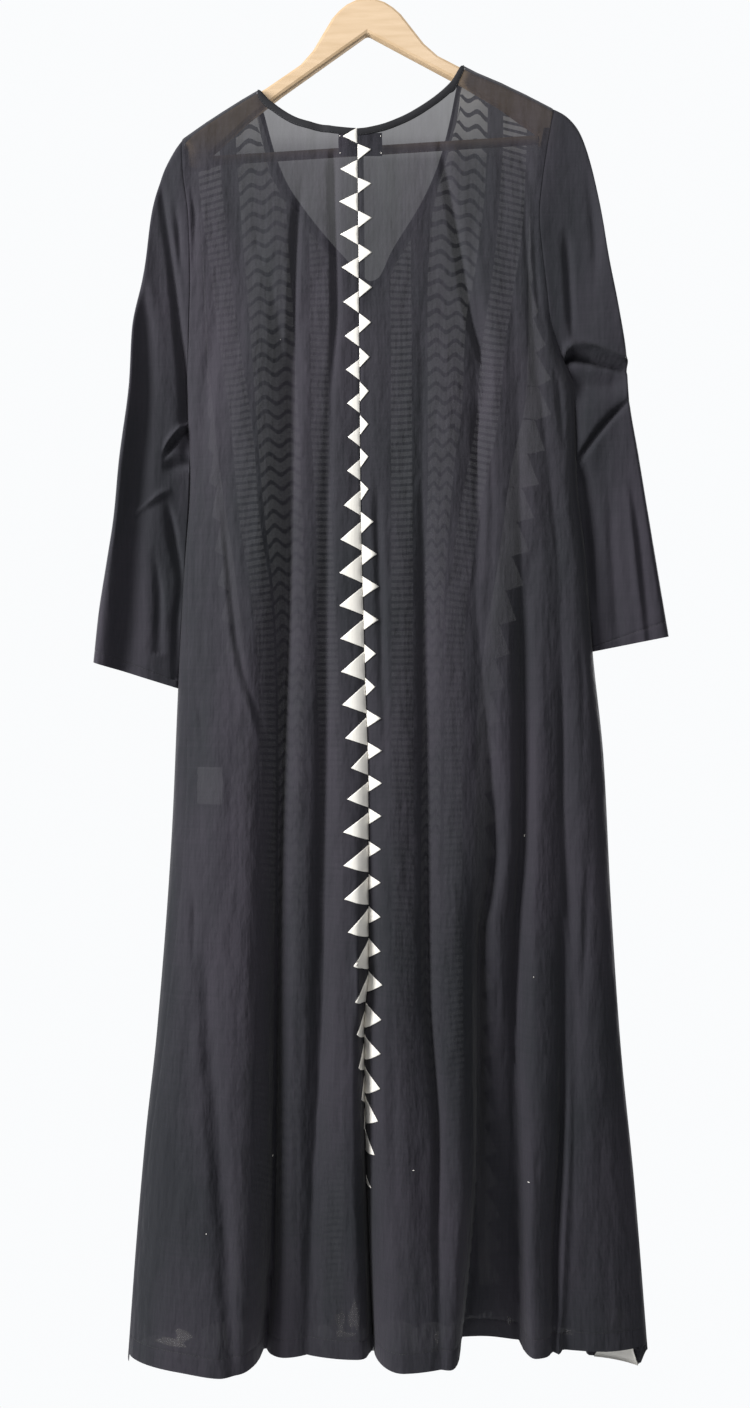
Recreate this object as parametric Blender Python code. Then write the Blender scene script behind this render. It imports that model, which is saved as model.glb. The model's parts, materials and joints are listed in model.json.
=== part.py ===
"""A long black voile kaftan, its back outwards, on a wooden suit hanger with a trouser bar.

Seen along +Y, +X is to the right and +Z is up, and the kaftan's back is nearest.
The origin is the inside top of the hanger's hook, where a rail carries it.

The tables are in centimetres. "down" is the depth below the origin, "across" is
along X, and "out" is how far a layer lies from the plane of the hanger: towards -Y
for the back and +Y for the front. The meshes are in metres.
"""

import math

import bmesh
import bpy
import numpy as np

CM = 0.01

# Cloth and sewing
WALL = 0.15
SEAM_GAP = 0.03
TRIM_GAP = 0.05
TRIM = 0.1
LABEL_GAP = 0.08
BINDING_END = 11.58
TOOTH_PITCH = 3.75
TEETH_FROM = 24.45
TEETH_TO = 158.5
LEFT_FIRST_TIP = 27.2
RIGHT_FIRST_TIP = 25.1
TOOTH_JOIN = 0.15
BEND_SHARE = 0.1

# How the kaftan hangs
UNDERARM = 53.0
EDGE_ROUND = 0.5
SHOULDER_ROUND = 1.0
ARMHOLE_TOP_OUT = 1.1
ARMHOLE_MID_OUT = 0.8
SHARP_FOLD_DEPTH = 5.0
SLEEVE_SETTLED = 0.25

# Hanger
TILT = math.radians(3.65)
ABOVE_WOOD = 0.32
WOOD_THICK = 1.2
WOOD_EDGE = 0.35
BAR_RADIUS = 0.5
BAR_DOWN = 25.05
BAR_HALF = 18.47
HOOK_WIRE = 0.19
HOOK_RADIUS = 2.6
APEX_DOWN = 8.0
COLLAR_TOP = 7.6
COLLAR_RADIUS = 0.45

# The hanger's right half before it tilts: (across, down) along its upper edge,
# then back along its lower edge to the notch in the middle
WOOD_TOP = (
    (0.0, 8.0), (1.1, 8.1), (2.2, 8.55), (3.1, 9.2), (3.9, 10.0), (5.1, 11.75), (6.3, 13.5),
    (7.8, 15.0), (9.9, 16.25), (12.0, 17.5), (14.7, 18.85), (17.0, 20.1), (18.75, 21.1),
    (20.5, 22.2),
)
SHOULDER_END = (22.5, 23.46)
WOOD_END = (
    (21.3, 22.95), (21.8, 23.8), (21.9, 24.7), (21.7, 25.6), (21.0, 26.0), (18.9, 26.0),
    (18.5, 25.6), (18.5, 24.55), (16.8, 23.2), (14.1, 21.0), (10.0, 18.2), (0.0, 12.0),
)

# Outlines of the body seen from behind: (down, across) of the armhole, then the side
LEFT_EDGE = (
    (24.0, -20.1), (27.2, -20.0), (33.2, -19.3), (39.4, -19.1), (45.3, -19.3), (53.0, -19.65),
    (62.9, -19.4), (72.4, -20.0), (85.9, -20.7), (102.0, -21.4), (124.7, -23.1),
    (136.6, -24.4), (147.1, -25.3), (161.0, -26.3),
)
RIGHT_EDGE = (
    (20.6, 21.7), (24.9, 20.9), (29.5, 20.2), (32.9, 19.9), (36.7, 20.2), (40.6, 20.7),
    (44.4, 21.2), (47.8, 22.3), (53.0, 24.3), (62.3, 24.5), (70.7, 25.4), (82.3, 26.3),
    (93.9, 27.5), (109.6, 28.3), (126.0, 29.4), (142.2, 31.0), (161.0, 32.5),
)
# How far the front's left side comes round to the back before its seam: (down, width)
WRAP = ((53.0, 0.0), (64.0, 0.2), (75.0, 0.7), (90.0, 1.5), (105.0, 1.75), (118.0, 1.4),
        (132.0, 1.05), (161.0, 0.5))

# (across, down) of the necks and hems
NECK_LEFT = -11.7
NECK_RIGHT = 11.7
BACK_NECK = (
    (-11.7, 18.3), (-10.1, 20.0), (-6.7, 22.1), (-2.5, 23.05), (-0.3, 23.2), (1.9, 22.85),
    (4.5, 21.9), (7.1, 20.4), (10.1, 17.9), (11.3, 16.0), (11.7, 15.6),
)
FRONT_NECK = (
    (-11.7, 18.3), (-11.1, 20.2), (-9.9, 24.6), (-8.5, 28.0), (-7.3, 29.9), (-4.2, 33.9),
    (-0.1, 38.3), (1.0, 39.2), (1.9, 38.9), (3.5, 35.8), (7.3, 29.5), (9.1, 25.2),
    (10.2, 20.9), (11.3, 16.0), (11.7, 15.6),
)
BACK_HEM = (
    (-26.3, 160.9), (-18.0, 160.5), (-10.0, 160.0), (2.0, 159.8), (9.0, 159.6), (14.0, 159.2),
    (19.0, 159.8), (25.0, 160.4), (32.5, 160.8),
)
FRONT_HEM = (
    (-26.3, 160.9), (-15.0, 160.4), (-4.4, 160.4), (-2.4, 162.4), (-0.4, 160.4), (9.0, 159.6),
    (17.0, 159.4), (23.0, 160.4), (26.5, 163.2), (30.5, 163.4), (32.5, 160.8),
)

# The back's fold lines from left to right: rows of (down, across, out)
BACK_FOLDS = (
    ((22, -5.6, 1.5), (31, -6.5, 1.1), (36, -7.5, 0.6), (50, -8.1, 0.4), (80, -8.6, 0.35),
     (112, -9.5, 0.3), (147, -9.9, 0.5), (161, -10.9, 1.4)),
    ((22, -3.6, 1.6), (60, -3.6, 1.6), (72, -3.8, 1.7), (98, -4.1, 1.9), (118, -4.2, 2.2),
     (140, -5.2, 2.6), (161, -6.0, 2.9)),
    ((22, -0.4, 1.55), (42, -0.2, 1.5), (65, 0.0, 1.7), (85, 0.5, 2.1), (97, 0.85, 2.3),
     (117, 0.85, 2.0), (124, 0.35, 1.6), (140, 0.6, 1.1), (161, 1.5, 1.3)),
    ((20, 6.3, 1.5), (31, 6.9, 1.2), (70, 6.9, 1.5), (98, 7.3, 2.0), (118, 7.5, 2.8),
     (140, 8.5, 4.6), (161, 8.8, 6.6)),
    ((18, 8.4, 1.4), (31, 9.8, 1.1), (41, 11.9, 0.8), (48, 13.3, 0.7), (60, 12.9, 1.3),
     (75, 12.9, 2.1), (90, 14.2, 2.0), (104, 15.0, 1.2), (114, 13.3, 0.9), (140, 13.1, 0.45),
     (152, 12.2, 0.1), (161, 11.1, 0.0)),
    ((19, 16.0, 1.3), (50, 17.3, 1.9), (72, 17.9, 1.7), (84, 18.1, 1.3), (103, 18.1, 1.3),
     (112, 17.6, 1.1), (127, 17.4, 0.8), (145, 17.7, 0.4), (161, 17.9, 0.1)),
    ((20, 18.6, 1.2), (42, 19.0, 1.6), (57, 20.5, 1.6), (75, 22.3, 1.7), (98, 22.6, 1.6),
     (113, 23.2, 1.2), (124, 23.2, 1.3), (139, 22.3, 1.7), (149, 21.5, 2.1), (161, 22.5, 2.3)),
)
MIDDLE_FOLD = 2
# The crest between each two neighbouring lines: a row is (down, out of each crest)
BACK_CRESTS = (
    (24, 1.2, 1.4, 1.6, 1.55, 1.4, 1.3, 1.2, 1.1),
    (45, 2.2, 1.7, 1.6, 1.7, 1.5, 2.3, 2.0, 1.8),
    (70, 2.8, 2.1, 2.1, 2.3, 2.3, 2.6, 2.2, 1.9),
    (100, 3.8, 2.8, 3.2, 3.4, 3.2, 2.6, 2.6, 2.3),
    (130, 5.2, 3.2, 4.6, 5.0, 4.6, 1.6, 3.2, 2.7),
    (161, 7.2, 3.6, 4.1, 7.2, 6.9, 0.1, 4.2, 3.0),
)
BACK_PEAKS = ((24, 0.6, 0.5, 0.6, 0.4, 0.5, 0.4, 0.4, 0.4),
              (161, 0.78, 0.5, 0.78, 0.45, 0.4, 0.5, 0.3, 0.4))

FRONT_FOLDS = (
    ((24, -18.5, 1.1), (45, -18.0, 1.4), (75, -16.5, 1.5), (110, -17.5, 2.2), (161, -19.5, 2.8)),
    ((24, -14.3, 1.2), (45, -12.2, 1.2), (75, -9.5, 0.9), (110, -9.6, 1.4), (161, -10.3, 2.6)),
    ((24, -6.6, 1.3), (45, -6.6, 1.3), (75, -6.2, 1.1), (110, -6.2, 1.5), (161, -6.4, 2.6)),
    ((24, 1.0, 1.3), (45, 1.0, 1.5), (75, 1.0, 1.3), (110, 1.0, 1.6), (161, 1.0, 2.7)),
    ((24, 6.9, 1.3), (45, 6.6, 1.2), (75, 6.4, 1.0), (110, 6.4, 1.4), (161, 6.4, 2.6)),
    ((24, 14.3, 1.2), (45, 12.6, 1.3), (75, 9.4, 0.9), (110, 9.4, 1.4), (161, 10.0, 2.6)),
    ((24, 18.8, 1.1), (45, 19.2, 1.4), (75, 18.5, 1.5), (110, 18.9, 2.2), (161, 20.5, 2.8)),
)
FRONT_CRESTS = (
    (24, 1.2, 1.3, 1.4, 1.4, 1.4, 1.4, 1.3, 1.2),
    (45, 1.7, 2.0, 2.2, 2.0, 2.0, 2.1, 2.2, 1.7),
    (75, 2.0, 2.6, 2.2, 2.4, 2.3, 2.2, 2.6, 2.0),
    (110, 2.6, 3.6, 2.6, 3.2, 3.0, 2.6, 3.8, 2.6),
    (161, 3.6, 5.6, 4.2, 5.4, 5.0, 4.0, 6.0, 3.6),
)
FRONT_PEAKS = ((24, 0.5, 0.5, 0.5, 0.5, 0.5, 0.5, 0.5, 0.5),
               (161, 0.6, 0.4, 0.55, 0.5, 0.45, 0.5, 0.6, 0.4))

# The front's cutwork bands, right side: rows of (down, middle across, width)
INNER_BAND = ((24, 4.2, 2.6), (45, 4.6, 2.6), (75, 5.0, 2.4), (120, 4.9, 2.2), (161, 4.6, 2.4))
WAVE_BAND = ((24, 11.4, 5.6), (31, 11.1, 5.6), (45, 9.8, 4.4), (62, 8.6, 3.0), (80, 7.9, 2.4),
             (110, 7.9, 2.4), (161, 8.3, 2.8))
OUTER_BAND = ((24, 17.2, 3.0), (42, 16.0, 3.0), (60, 13.2, 3.0), (78, 11.2, 2.6),
              (110, 11.2, 2.4), (161, 12.0, 2.8))
RIGHT_SAW_BAND = ((24, 19.0, 0.5), (34, 18.8, 0.8), (45, 19.6, 2.0), (60, 18.6, 2.4),
                  (72, 17.4, 2.4), (93, 15.2, 2.6), (120, 14.2, 2.6), (161, 15.4, 2.8))
LEFT_SAW_BAND = ((24, 18.95, 0.3), (34, 18.3, 0.3), (45, 17.6, 0.7), (60, 17.0, 2.0),
                 (72, 15.9, 2.4), (93, 14.6, 2.4), (120, 14.0, 2.4), (161, 15.2, 2.6))
# Where each band begins: a row of the front's grid, and it ends above the hem
BAND_ROWS = {"inner": 3.08, "wave": 3.08, "outer": 1.0, "saw": 11.5}
BAND_END = 0.9

# How wide the sawtooth is on each back half: (down, width), and how far its cloth is gridded
LEFT_REACH = 2.9
RIGHT_REACH = 1.9
LEFT_TEETH = ((24, 1.6), (50, 1.5), (58, 1.5), (66, 1.9), (76, 2.4), (106, 2.5), (160, 2.0))
RIGHT_TEETH = ((24, 1.35), (60, 1.2), (76, 1.5), (160, 1.5))

# Sleeves: rows of (t, outer across, outer down, inner across, inner down, half depth)
LEFT_SLEEVE = (
    (0.00, -20.10, 24.0, -19.65, 53.0, 1.5), (0.03, -21.0, 25.3, -19.85, 53.6, 1.5),
    (0.08, -22.3, 28.0, -19.9, 55.0, 1.6), (0.15, -23.5, 32.4, -19.8, 57.5, 1.7),
    (0.25, -24.2, 38.3, -19.7, 61.0, 1.7), (0.37, -25.6, 45.7, -19.8, 65.0, 1.6),
    (0.47, -25.9, 51.5, -20.05, 69.0, 1.5), (0.60, -27.1, 60.5, -20.3, 73.5, 1.4),
    (0.70, -27.7, 66.5, -20.5, 77.0, 1.3), (0.80, -28.6, 72.0, -20.7, 80.0, 1.2),
    (0.90, -29.5, 77.5, -20.8, 83.0, 1.15), (1.00, -30.1, 83.0, -20.95, 86.0, 1.1),
)
RIGHT_SLEEVE = (
    (0.00, 21.70, 20.6, 24.3, 53.0, 1.5), (0.03, 23.1, 21.4, 24.55, 53.6, 1.5),
    (0.07, 24.6, 23.2, 24.65, 55.0, 1.6), (0.12, 25.7, 26.3, 24.65, 57.0, 1.7),
    (0.20, 26.7, 31.0, 24.7, 60.0, 1.9), (0.30, 27.7, 37.1, 24.85, 63.5, 2.0),
    (0.40, 28.9, 43.0, 25.25, 67.0, 1.9), (0.50, 29.8, 48.3, 25.55, 70.0, 1.6),
    (0.58, 30.1, 52.8, 25.8, 72.5, 1.4), (0.70, 31.3, 60.0, 26.05, 75.5, 1.3),
    (0.85, 32.9, 69.5, 26.3, 79.0, 1.2), (1.00, 34.7, 80.1, 26.5, 81.8, 1.1),
)
RING_STEPS = (0, 0.02, 0.05, 0.1, 0.16, 0.23, 0.3, 0.37, 0.45, 0.53, 0.62, 0.75, 0.88, 1.0)

# Rows of every body panel: depths under its top edge, then shares of the armhole
TOP_ROWS = (0.0, 0.18, 0.58, 1.0)
ARMHOLE_ROWS = (0.09, 0.2, 0.35, 0.5, 0.65, 0.8, 0.92, 0.98, 1.0)
SIDE_ROWS = 13

BLACK_VOILE = (0.045, 0.043, 0.05, 1.0)
CREAM = (0.85, 0.82, 0.73, 1.0)
PALE_LABEL = (0.55, 0.55, 0.58, 1.0)
BEECH = (0.82, 0.66, 0.42, 1.0)
STEEL = (0.7, 0.7, 0.72, 1.0)


def through(rows, column=1):
    """A smooth curve, without overshoot, through one column of a table."""
    xs = np.array([row[0] for row in rows], float)
    ys = np.array([row[column] for row in rows], float)
    steps = np.diff(xs)
    slopes = np.diff(ys) / steps
    same = slopes[:-1] * slopes[1:] > 0
    total = np.where(same, slopes[:-1] + slopes[1:], 1.0)
    inner = np.where(same, 2 * slopes[:-1] * slopes[1:] / total, 0.0)
    tangents = np.concatenate((slopes[:1], inner, slopes[-1:]))

    def at(x):
        x = np.clip(np.asarray(x, float), xs[0], xs[-1])
        i = np.clip(np.searchsorted(xs, x, side="right") - 1, 0, len(steps) - 1)
        step = steps[i]
        s = (x - xs[i]) / step
        value = ys[i] * (1 + 2 * s) * (1 - s) ** 2 + ys[i + 1] * s * s * (3 - 2 * s)
        value += step * s * (1 - s) * (tangents[i] * (1 - s) - tangents[i + 1] * s)
        return value

    return at


def rounded(distance, radius):
    """0 at an edge, rising as a quarter circle to 1 at the radius."""
    short = 1 - np.clip(distance / radius, 0, 1)
    return np.sqrt(1 - short * short)


def tilted(across, down):
    """A point of the hanger after it tilts about the hook."""
    c, s = math.cos(TILT), math.sin(TILT)
    return across * c + down * s, down * c - across * s


def shoulder_line():
    """The highest line of the wood, and on past its ends, as (across, down)."""
    half = WOOD_TOP + (SHOULDER_END,)
    both = [(-x, d) for x, d in reversed(half)] + list(half[1:])
    return [tilted(x, d) for x, d in both]


RIDGE = np.array(shoulder_line())


def ridge(across):
    return np.interp(across, RIDGE[:, 0], RIDGE[:, 1]) - ABOVE_WOOD


def neckline(rows):
    """The top edge of a layer: its neck between the neck points, and the shoulders."""
    neck = through(rows)

    def top(across):
        inside = (across > NECK_LEFT) & (across < NECK_RIGHT)
        return np.where(inside, np.maximum(neck(across), ridge(across)), ridge(across))

    return top


left_edge = through(LEFT_EDGE)
right_edge = through(RIGHT_EDGE)
wrap = through(WRAP)


def armhole_out(edge, down):
    """How far the armhole's edge stands from the middle plane."""
    top = ridge(edge(down))
    s = np.clip((down - top) / (UNDERARM - top), 0, 1)
    return (ARMHOLE_TOP_OUT + ARMHOLE_MID_OUT * np.sin(math.pi * s)) * np.sqrt(1 - s**4)


class Layer:
    """The body's back (sign -1) or front (sign +1) as one folded surface."""

    def __init__(self, sign, folds, crests, peaks):
        self.sign = sign
        self.lines = [left_edge] + [through(rows, 1) for rows in folds] + [right_edge]
        self.valleys = [through(rows, 2) for rows in folds]
        self.crests = [through(crests, i + 1) for i in range(len(folds) + 1)]
        self.peaks = [through(peaks, i + 1) for i in range(len(folds) + 1)]

    def valley(self, i, down):
        if 0 < i < len(self.lines) - 1:
            return self.valleys[i - 1](down)
        return np.hypot(armhole_out(self.lines[i], down), EDGE_ROUND)

    def out(self, across, down):
        total = np.zeros(np.broadcast(across, down).shape)
        for i, crest in enumerate(self.crests):
            a, b = self.lines[i](down), self.lines[i + 1](down)
            q = (across - a) / (b - a)
            inside = ((q >= 0) | (i == 0)) & ((q <= 1) | (i == len(self.crests) - 1))
            q = np.clip(q, 0, 1)
            peak = self.peaks[i](down)
            rising = q < peak
            s = np.where(rising, q / peak, (1 - q) / (1 - peak))
            low = np.where(rising, self.valley(i, down), self.valley(i + 1, down))
            high = crest(down)
            sharp = 0.95 - 0.5 * np.clip((high - low) / SHARP_FOLD_DEPTH, 0, 1)
            bulge = low + (high - low) * np.sin(math.pi / 2 * s) ** sharp
            total = np.where(inside, bulge, total)
        for edge, side in ((left_edge, 1), (right_edge, -1)):
            rim = armhole_out(edge, down)
            turn = rounded(side * (across - edge(down)), EDGE_ROUND)
            total = np.sqrt(rim**2 + np.maximum(total**2 - rim**2, 0) * turn**2)
        return total * rounded(down - ridge(across), SHOULDER_ROUND)

    def point(self, across, down):
        """Points of the outer surface, in centimetres."""
        across, down = np.broadcast_arrays(np.asarray(across, float), np.asarray(down, float))
        return np.stack([across, self.sign * self.out(across, down), -down], axis=-1)


BACK = Layer(-1, BACK_FOLDS, BACK_CRESTS, BACK_PEAKS)
FRONT = Layer(1, FRONT_FOLDS, FRONT_CRESTS, FRONT_PEAKS)


def between(lines, i, share):
    """A column at a share of the way from fold line i to the next."""
    return lambda down: lines[i](down) * (1 - share) + lines[i + 1](down) * share


def mixed(first, second, share):
    """A column at a share of the way between two others."""
    return lambda down: first(down) * (1 - share) + second(down) * share


def beside(line, distance):
    return lambda down: line(down) + distance


def along_cloth(layer, start, side, distance):
    """A column that keeps its distance, measured over the folds, from another one."""
    levels = np.linspace(15, 161, 74)
    steps = np.linspace(0, distance, 60)
    found = []
    for level in levels:
        run = start(level) + side * steps
        points = layer.point(run, level)
        lengths = np.linalg.norm(np.diff(points, axis=0), axis=1)
        found.append(np.interp(distance, np.concatenate(([0], np.cumsum(lengths))), run))
    return lambda down: np.interp(down, levels, found)


def top_of(column, top):
    """Where a column meets the top edge: its depth, and the edge's steepness there."""
    start = 20.0
    for _ in range(60):
        start = float(top(column(start)))
    across = column(start)
    slope = float(top(across + 0.15) - top(across - 0.15)) / 0.3
    return start, min(math.hypot(1, slope), 4.0)


def edge_rows(edge, end):
    """The depths of the rows on a side edge: its armhole, then its side seam."""
    start = top_of(edge, ridge)[0]
    rows = [start + d for d in TOP_ROWS]
    rows += [start + s * (UNDERARM - start) for s in ARMHOLE_ROWS]
    rows += list(np.linspace(UNDERARM, end, SIDE_ROWS + 1)[1:])
    return np.array(rows)


def grid_depths(columns, top, hem):
    """The depth of every point of a layer that runs from the left side to the right."""
    sides = [edge_rows(left_edge, float(hem(-26.3))), edge_rows(right_edge, float(hem(32.5)))]
    last = len(TOP_ROWS) - 1
    shares = [(rows - rows[last]) / (rows[-1] - rows[last]) for rows in sides]
    depths = np.empty((len(shares[0]), len(columns)))
    for j, column in enumerate(columns):
        start, steep = top_of(column, top)
        end = float(hem(column(161.0)))
        at = (column(100.0) - left_edge(100.0)) / (right_edge(100.0) - left_edge(100.0))
        share = shares[0] * (1 - at) + shares[1] * at
        first = start + steep * TOP_ROWS[-1]
        depths[:, j] = first + (end - first) * share
        depths[: last + 1, j] = start + steep * np.array(TOP_ROWS)
    depths[:, 0], depths[:, -1] = sides
    return depths


def outward(grid, sign, ring=False):
    """The direction out of the garment at each point of a grid."""
    if ring:
        across = np.roll(grid, -1, axis=1) - np.roll(grid, 1, axis=1)
    else:
        across = np.gradient(grid, axis=1)
    normal = sign * np.cross(across, np.gradient(grid, axis=0))
    return normal / np.maximum(np.linalg.norm(normal, axis=-1, keepdims=True), 1e-9)


def dress(item, color, roughness=0.85, metallic=0.0):
    """An object's own material."""
    material = bpy.data.materials.new(item.name)
    material.use_nodes = True
    shader = material.node_tree.nodes["Principled BSDF"]
    shader.inputs["Base Color"].default_value = color
    shader.inputs["Roughness"].default_value = roughness
    shader.inputs["Metallic"].default_value = metallic
    item.data.materials.append(material)


def mesh_object(name, points, faces, color):
    """One object with its own material, from points in centimetres."""
    mesh = bpy.data.meshes.new(name)
    mesh.from_pydata([tuple(p) for p in np.asarray(points) * CM], [], faces)
    work = bmesh.new()
    work.from_mesh(mesh)
    bmesh.ops.recalc_face_normals(work, faces=work.faces)
    work.to_mesh(mesh)
    work.free()
    mesh.shade_smooth()
    mesh.set_sharp_from_angle(angle=math.radians(40))
    item = bpy.data.objects.new(name, mesh)
    bpy.context.collection.objects.link(item)
    dress(item, color)
    return item


def wall(name, outer, inner, color, ring=False):
    """A closed solid between two grids of points; a ring's last column meets its first."""
    rows, cols = outer.shape[:2]
    points = np.concatenate([outer.reshape(-1, 3), inner.reshape(-1, 3)])
    layer = rows * cols
    spans = [(j, (j + 1) % cols) for j in range(cols if ring else cols - 1)]
    faces = []
    for i in range(rows - 1):
        for j, k in spans:
            a, b = i * cols + j, i * cols + k
            c, d = b + cols, a + cols
            faces += [(a, b, c), (a, c, d)]
            faces += [(layer + a, layer + c, layer + b), (layer + a, layer + d, layer + c)]
    for i in (0, rows - 1):
        for j, k in spans:
            a, b = i * cols + j, i * cols + k
            faces += [(a, layer + b, b), (a, layer + a, layer + b)]
    if not ring:
        for first in range(0, layer - cols, cols):
            for a in (first, first + cols - 1):
                b = a + cols
                faces += [(a, b, layer + b), (a, layer + b, layer + a)]
    return mesh_object(name, points, faces, color)


def held_back(outer, inner, towards):
    """Inner points moved so that none lies past its outer point in a direction."""
    past = np.maximum(((inner - outer) * towards).sum(axis=-1, keepdims=True), 0)
    return inner - past * towards


def inside_of(grid, sign, seams):
    """The inner points of a cloth wall. Seams hold them back: (rows, columns, towards)."""
    inner = grid - outward(grid, sign) * WALL
    for rows, columns, towards in seams:
        inner[rows, columns] = held_back(grid[rows, columns], inner[rows, columns], towards)
    return inner


def unit(vectors):
    return vectors / np.linalg.norm(vectors, axis=-1, keepdims=True)


def across_seam(seam, before, after):
    """The direction over a seam, halfway between the cloth on its two sides."""
    return unit(unit(after - seam) - unit(before - seam))


def back_columns():
    """The back's columns from left to right, and the number of the middle seam's."""
    lines = BACK.lines
    seam_line = lines[MIDDLE_FOLD + 1]
    near = along_cloth(BACK, seam_line, -1, LEFT_REACH)
    far = along_cloth(BACK, seam_line, 1, RIGHT_REACH)
    side_seam = lambda down: left_edge(down) + wrap(down)
    left = [side_seam]
    left += [mixed(side_seam, lines[1], q) for q in (0.1, 0.24, 0.42, 0.57, 0.585, 0.605, 0.78, 0.92)]
    left += [lines[1]] + [between(lines, 1, q) for q in (0.2, 0.5, 0.8)] + [lines[2]]
    left += [mixed(lines[2], near, 0.5), near, seam_line]
    right = [far] + [mixed(far, lines[4], q) for q in (0.3, 0.65)] + [lines[4]]
    right += [between(lines, 4, q) for q in (0.3, 0.65, 0.9)] + [lines[5]]
    right += [between(lines, 5, q) for q in (0.12, 0.375, 0.415, 0.44, 0.7, 0.9)] + [lines[6]]
    right += [between(lines, 6, q) for q in (0.14, 0.4, 0.75)] + [lines[7]]
    right += [between(lines, 7, q) for q in (0.2, 0.45, 0.7, 0.88)]
    right += [beside(right_edge, -0.22), right_edge]
    return left + right, len(left) - 1


def back_grid():
    """The outer points of the whole back, and the number of its middle seam's column."""
    columns, seam = back_columns()
    depths = grid_depths(columns, neckline(BACK_NECK), through(BACK_HEM))
    across = np.stack([column(depths[:, j]) for j, column in enumerate(columns)], axis=1)
    grid = BACK.point(across, depths)
    grid[..., 1] = np.minimum(grid[..., 1], -SEAM_GAP / 2)
    return grid, seam


def band_edges(sign):
    """The columns at both edges of each band on one side of the front, middle first."""
    saw = RIGHT_SAW_BAND if sign > 0 else LEFT_SAW_BAND
    edges = []
    for name, rows in (("inner", INNER_BAND), ("wave", WAVE_BAND), ("outer", OUTER_BAND),
                       ("saw", saw)):
        middle, width = through(rows, 1), through(rows, 2)
        for half in (-0.5, 0.5):
            edge = lambda down, m=middle, w=width, h=half: sign * (m(down) + h * w(down))
            edges.append((name, edge))
        if name == "wave":
            for aside in (-0.3, 0.1, 0.22, 0.35):
                edges.insert(-1, (name, lambda down, m=middle, a=aside: sign * (m(down) + a)))
    return edges


def turned(start, share):
    """Distance from the left side, less than 0 on the back, of a column near the seam."""
    def at(down):
        come = np.clip(wrap(down) / 0.5, 0, 1)
        return start * (1 - come) - share * wrap(down)
    return at


def front_grid():
    """The outer points of the front, from its seam round the left side to the right seam.

    Also the names of the bands that its columns bound.
    """
    near_seam = [turned(0.0, 1.0), turned(0.12, 0.4), turned(0.28, 0.0)]
    left, right = band_edges(-1)[::-1], band_edges(1)
    columns = [("", lambda down, u=u: left_edge(down) + np.abs(u(down))) for u in near_seam]
    start = beside(left_edge, 0.45)
    columns += [("", start)] + [("", mixed(start, left[0][1], q)) for q in (0.35, 0.7)]
    columns += left
    columns += [("", lambda down: -1.2 + 0 * down), ("", FRONT.lines[4]),
                ("", lambda down: 2.4 + 0 * down)]
    columns += right
    end = beside(right_edge, -0.22)
    columns += [("", mixed(right[-1][1], end, q)) for q in (0.35, 0.7)] + [("", end)]
    columns.append(("", right_edge))
    lines = [column for _, column in columns]
    depths = grid_depths(lines, neckline(FRONT_NECK), through(FRONT_HEM))
    across = np.stack([line(depths[:, j]) for j, line in enumerate(lines)], axis=1)
    grid = FRONT.point(across, depths)
    grid[..., 1] = np.maximum(grid[..., 1], SEAM_GAP / 2)
    for j, distance in enumerate(near_seam):
        behind = distance(depths[:, j]) < 0
        grid[behind, j] = BACK.point(across[behind, j], depths[behind, j])
    return grid, [name for name, _ in columns]


def part_at_seams(back, front):
    """Both layers moved apart at the side seams and clear of the sleeves."""
    hole = len(TOP_ROWS) + len(ARMHOLE_ROWS)
    over = across_seam(back[hole:, 0], front[hole:, 1], back[hole:, 1])
    back[hole:, 0] += over * SEAM_GAP / 2
    front[hole:, 0] -= over * SEAM_GAP / 2
    for grid in (back, front):
        grid[:hole, 0, 0] += SEAM_GAP / 2
        grid[:hole, -1, 0] -= SEAM_GAP / 2
    back[hole - 1, (0, -1), 1] = -SEAM_GAP / 2
    front[hole - 1, (0, -1), 1] = SEAM_GAP / 2
    return hole, over


def make_body():
    """The back halves and the front, and what is sewn on them."""
    back, seam = back_grid()
    front, bands = front_grid()
    hole, over = part_at_seams(back, front)
    hang, below = slice(0, hole), slice(hole, None)
    every = slice(None)
    left, right, nearer, farther = (np.array(v, float) for v in (
        (-1, 0, 0), (1, 0, 0), (0, -1, 0), (0, 1, 0)))

    halves = back[:, : seam + 1].copy(), back[:, seam:].copy()
    middle = across_seam(back[:, seam], back[:, seam - 1], back[:, seam + 1])
    halves[0][:, -1] -= middle * SEAM_GAP / 2
    halves[1][:, 0] += middle * SEAM_GAP / 2
    top, corner = (0, every, farther), (hole - 1, (0, -1), farther)
    inner = inside_of(halves[0], -1, [top, corner, (hang, 0, left), (below, 0, -over),
                                      (every, -1, middle)])
    wall("back_left", halves[0], inner, BLACK_VOILE)
    inner = inside_of(halves[1], -1, [top, corner, (hang, -1, right), (below, -1, farther),
                                      (every, 0, -middle)])
    wall("back_right", halves[1], inner, BLACK_VOILE)

    inner = inside_of(front, 1, [(0, every, nearer), (hole - 1, (0, -1), nearer),
                                 (hang, 0, left), (hang, -1, right), (below, 0, over),
                                 (below, -1, nearer)])
    wall("front", front, inner, BLACK_VOILE)

    binding("neck_binding_back", back, -1)
    binding("neck_binding_front", front, 1)
    over_seam = np.stack([middle, middle], axis=1)
    sawtooth("left", halves[0][:, -2:], over_seam, LEFT_TEETH, LEFT_REACH, LEFT_FIRST_TIP)
    sawtooth("right", halves[1][:, :2], over_seam, RIGHT_TEETH, RIGHT_REACH, RIGHT_FIRST_TIP)
    sew_bands(front, bands)


def on_grid(grid, row, column):
    """The point of a grid's triangles at a broken row and column number."""
    i = min(int(row), grid.shape[0] - 2)
    j = min(int(column), grid.shape[1] - 2)
    u, v = row - i, column - j
    start, end = grid[i, j], grid[i + 1, j + 1]
    if u < v:
        corner = grid[i, j + 1]
        return start + (corner - start) * v + (end - corner) * u
    corner = grid[i + 1, j]
    return start + (corner - start) * u + (end - corner) * v


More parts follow.
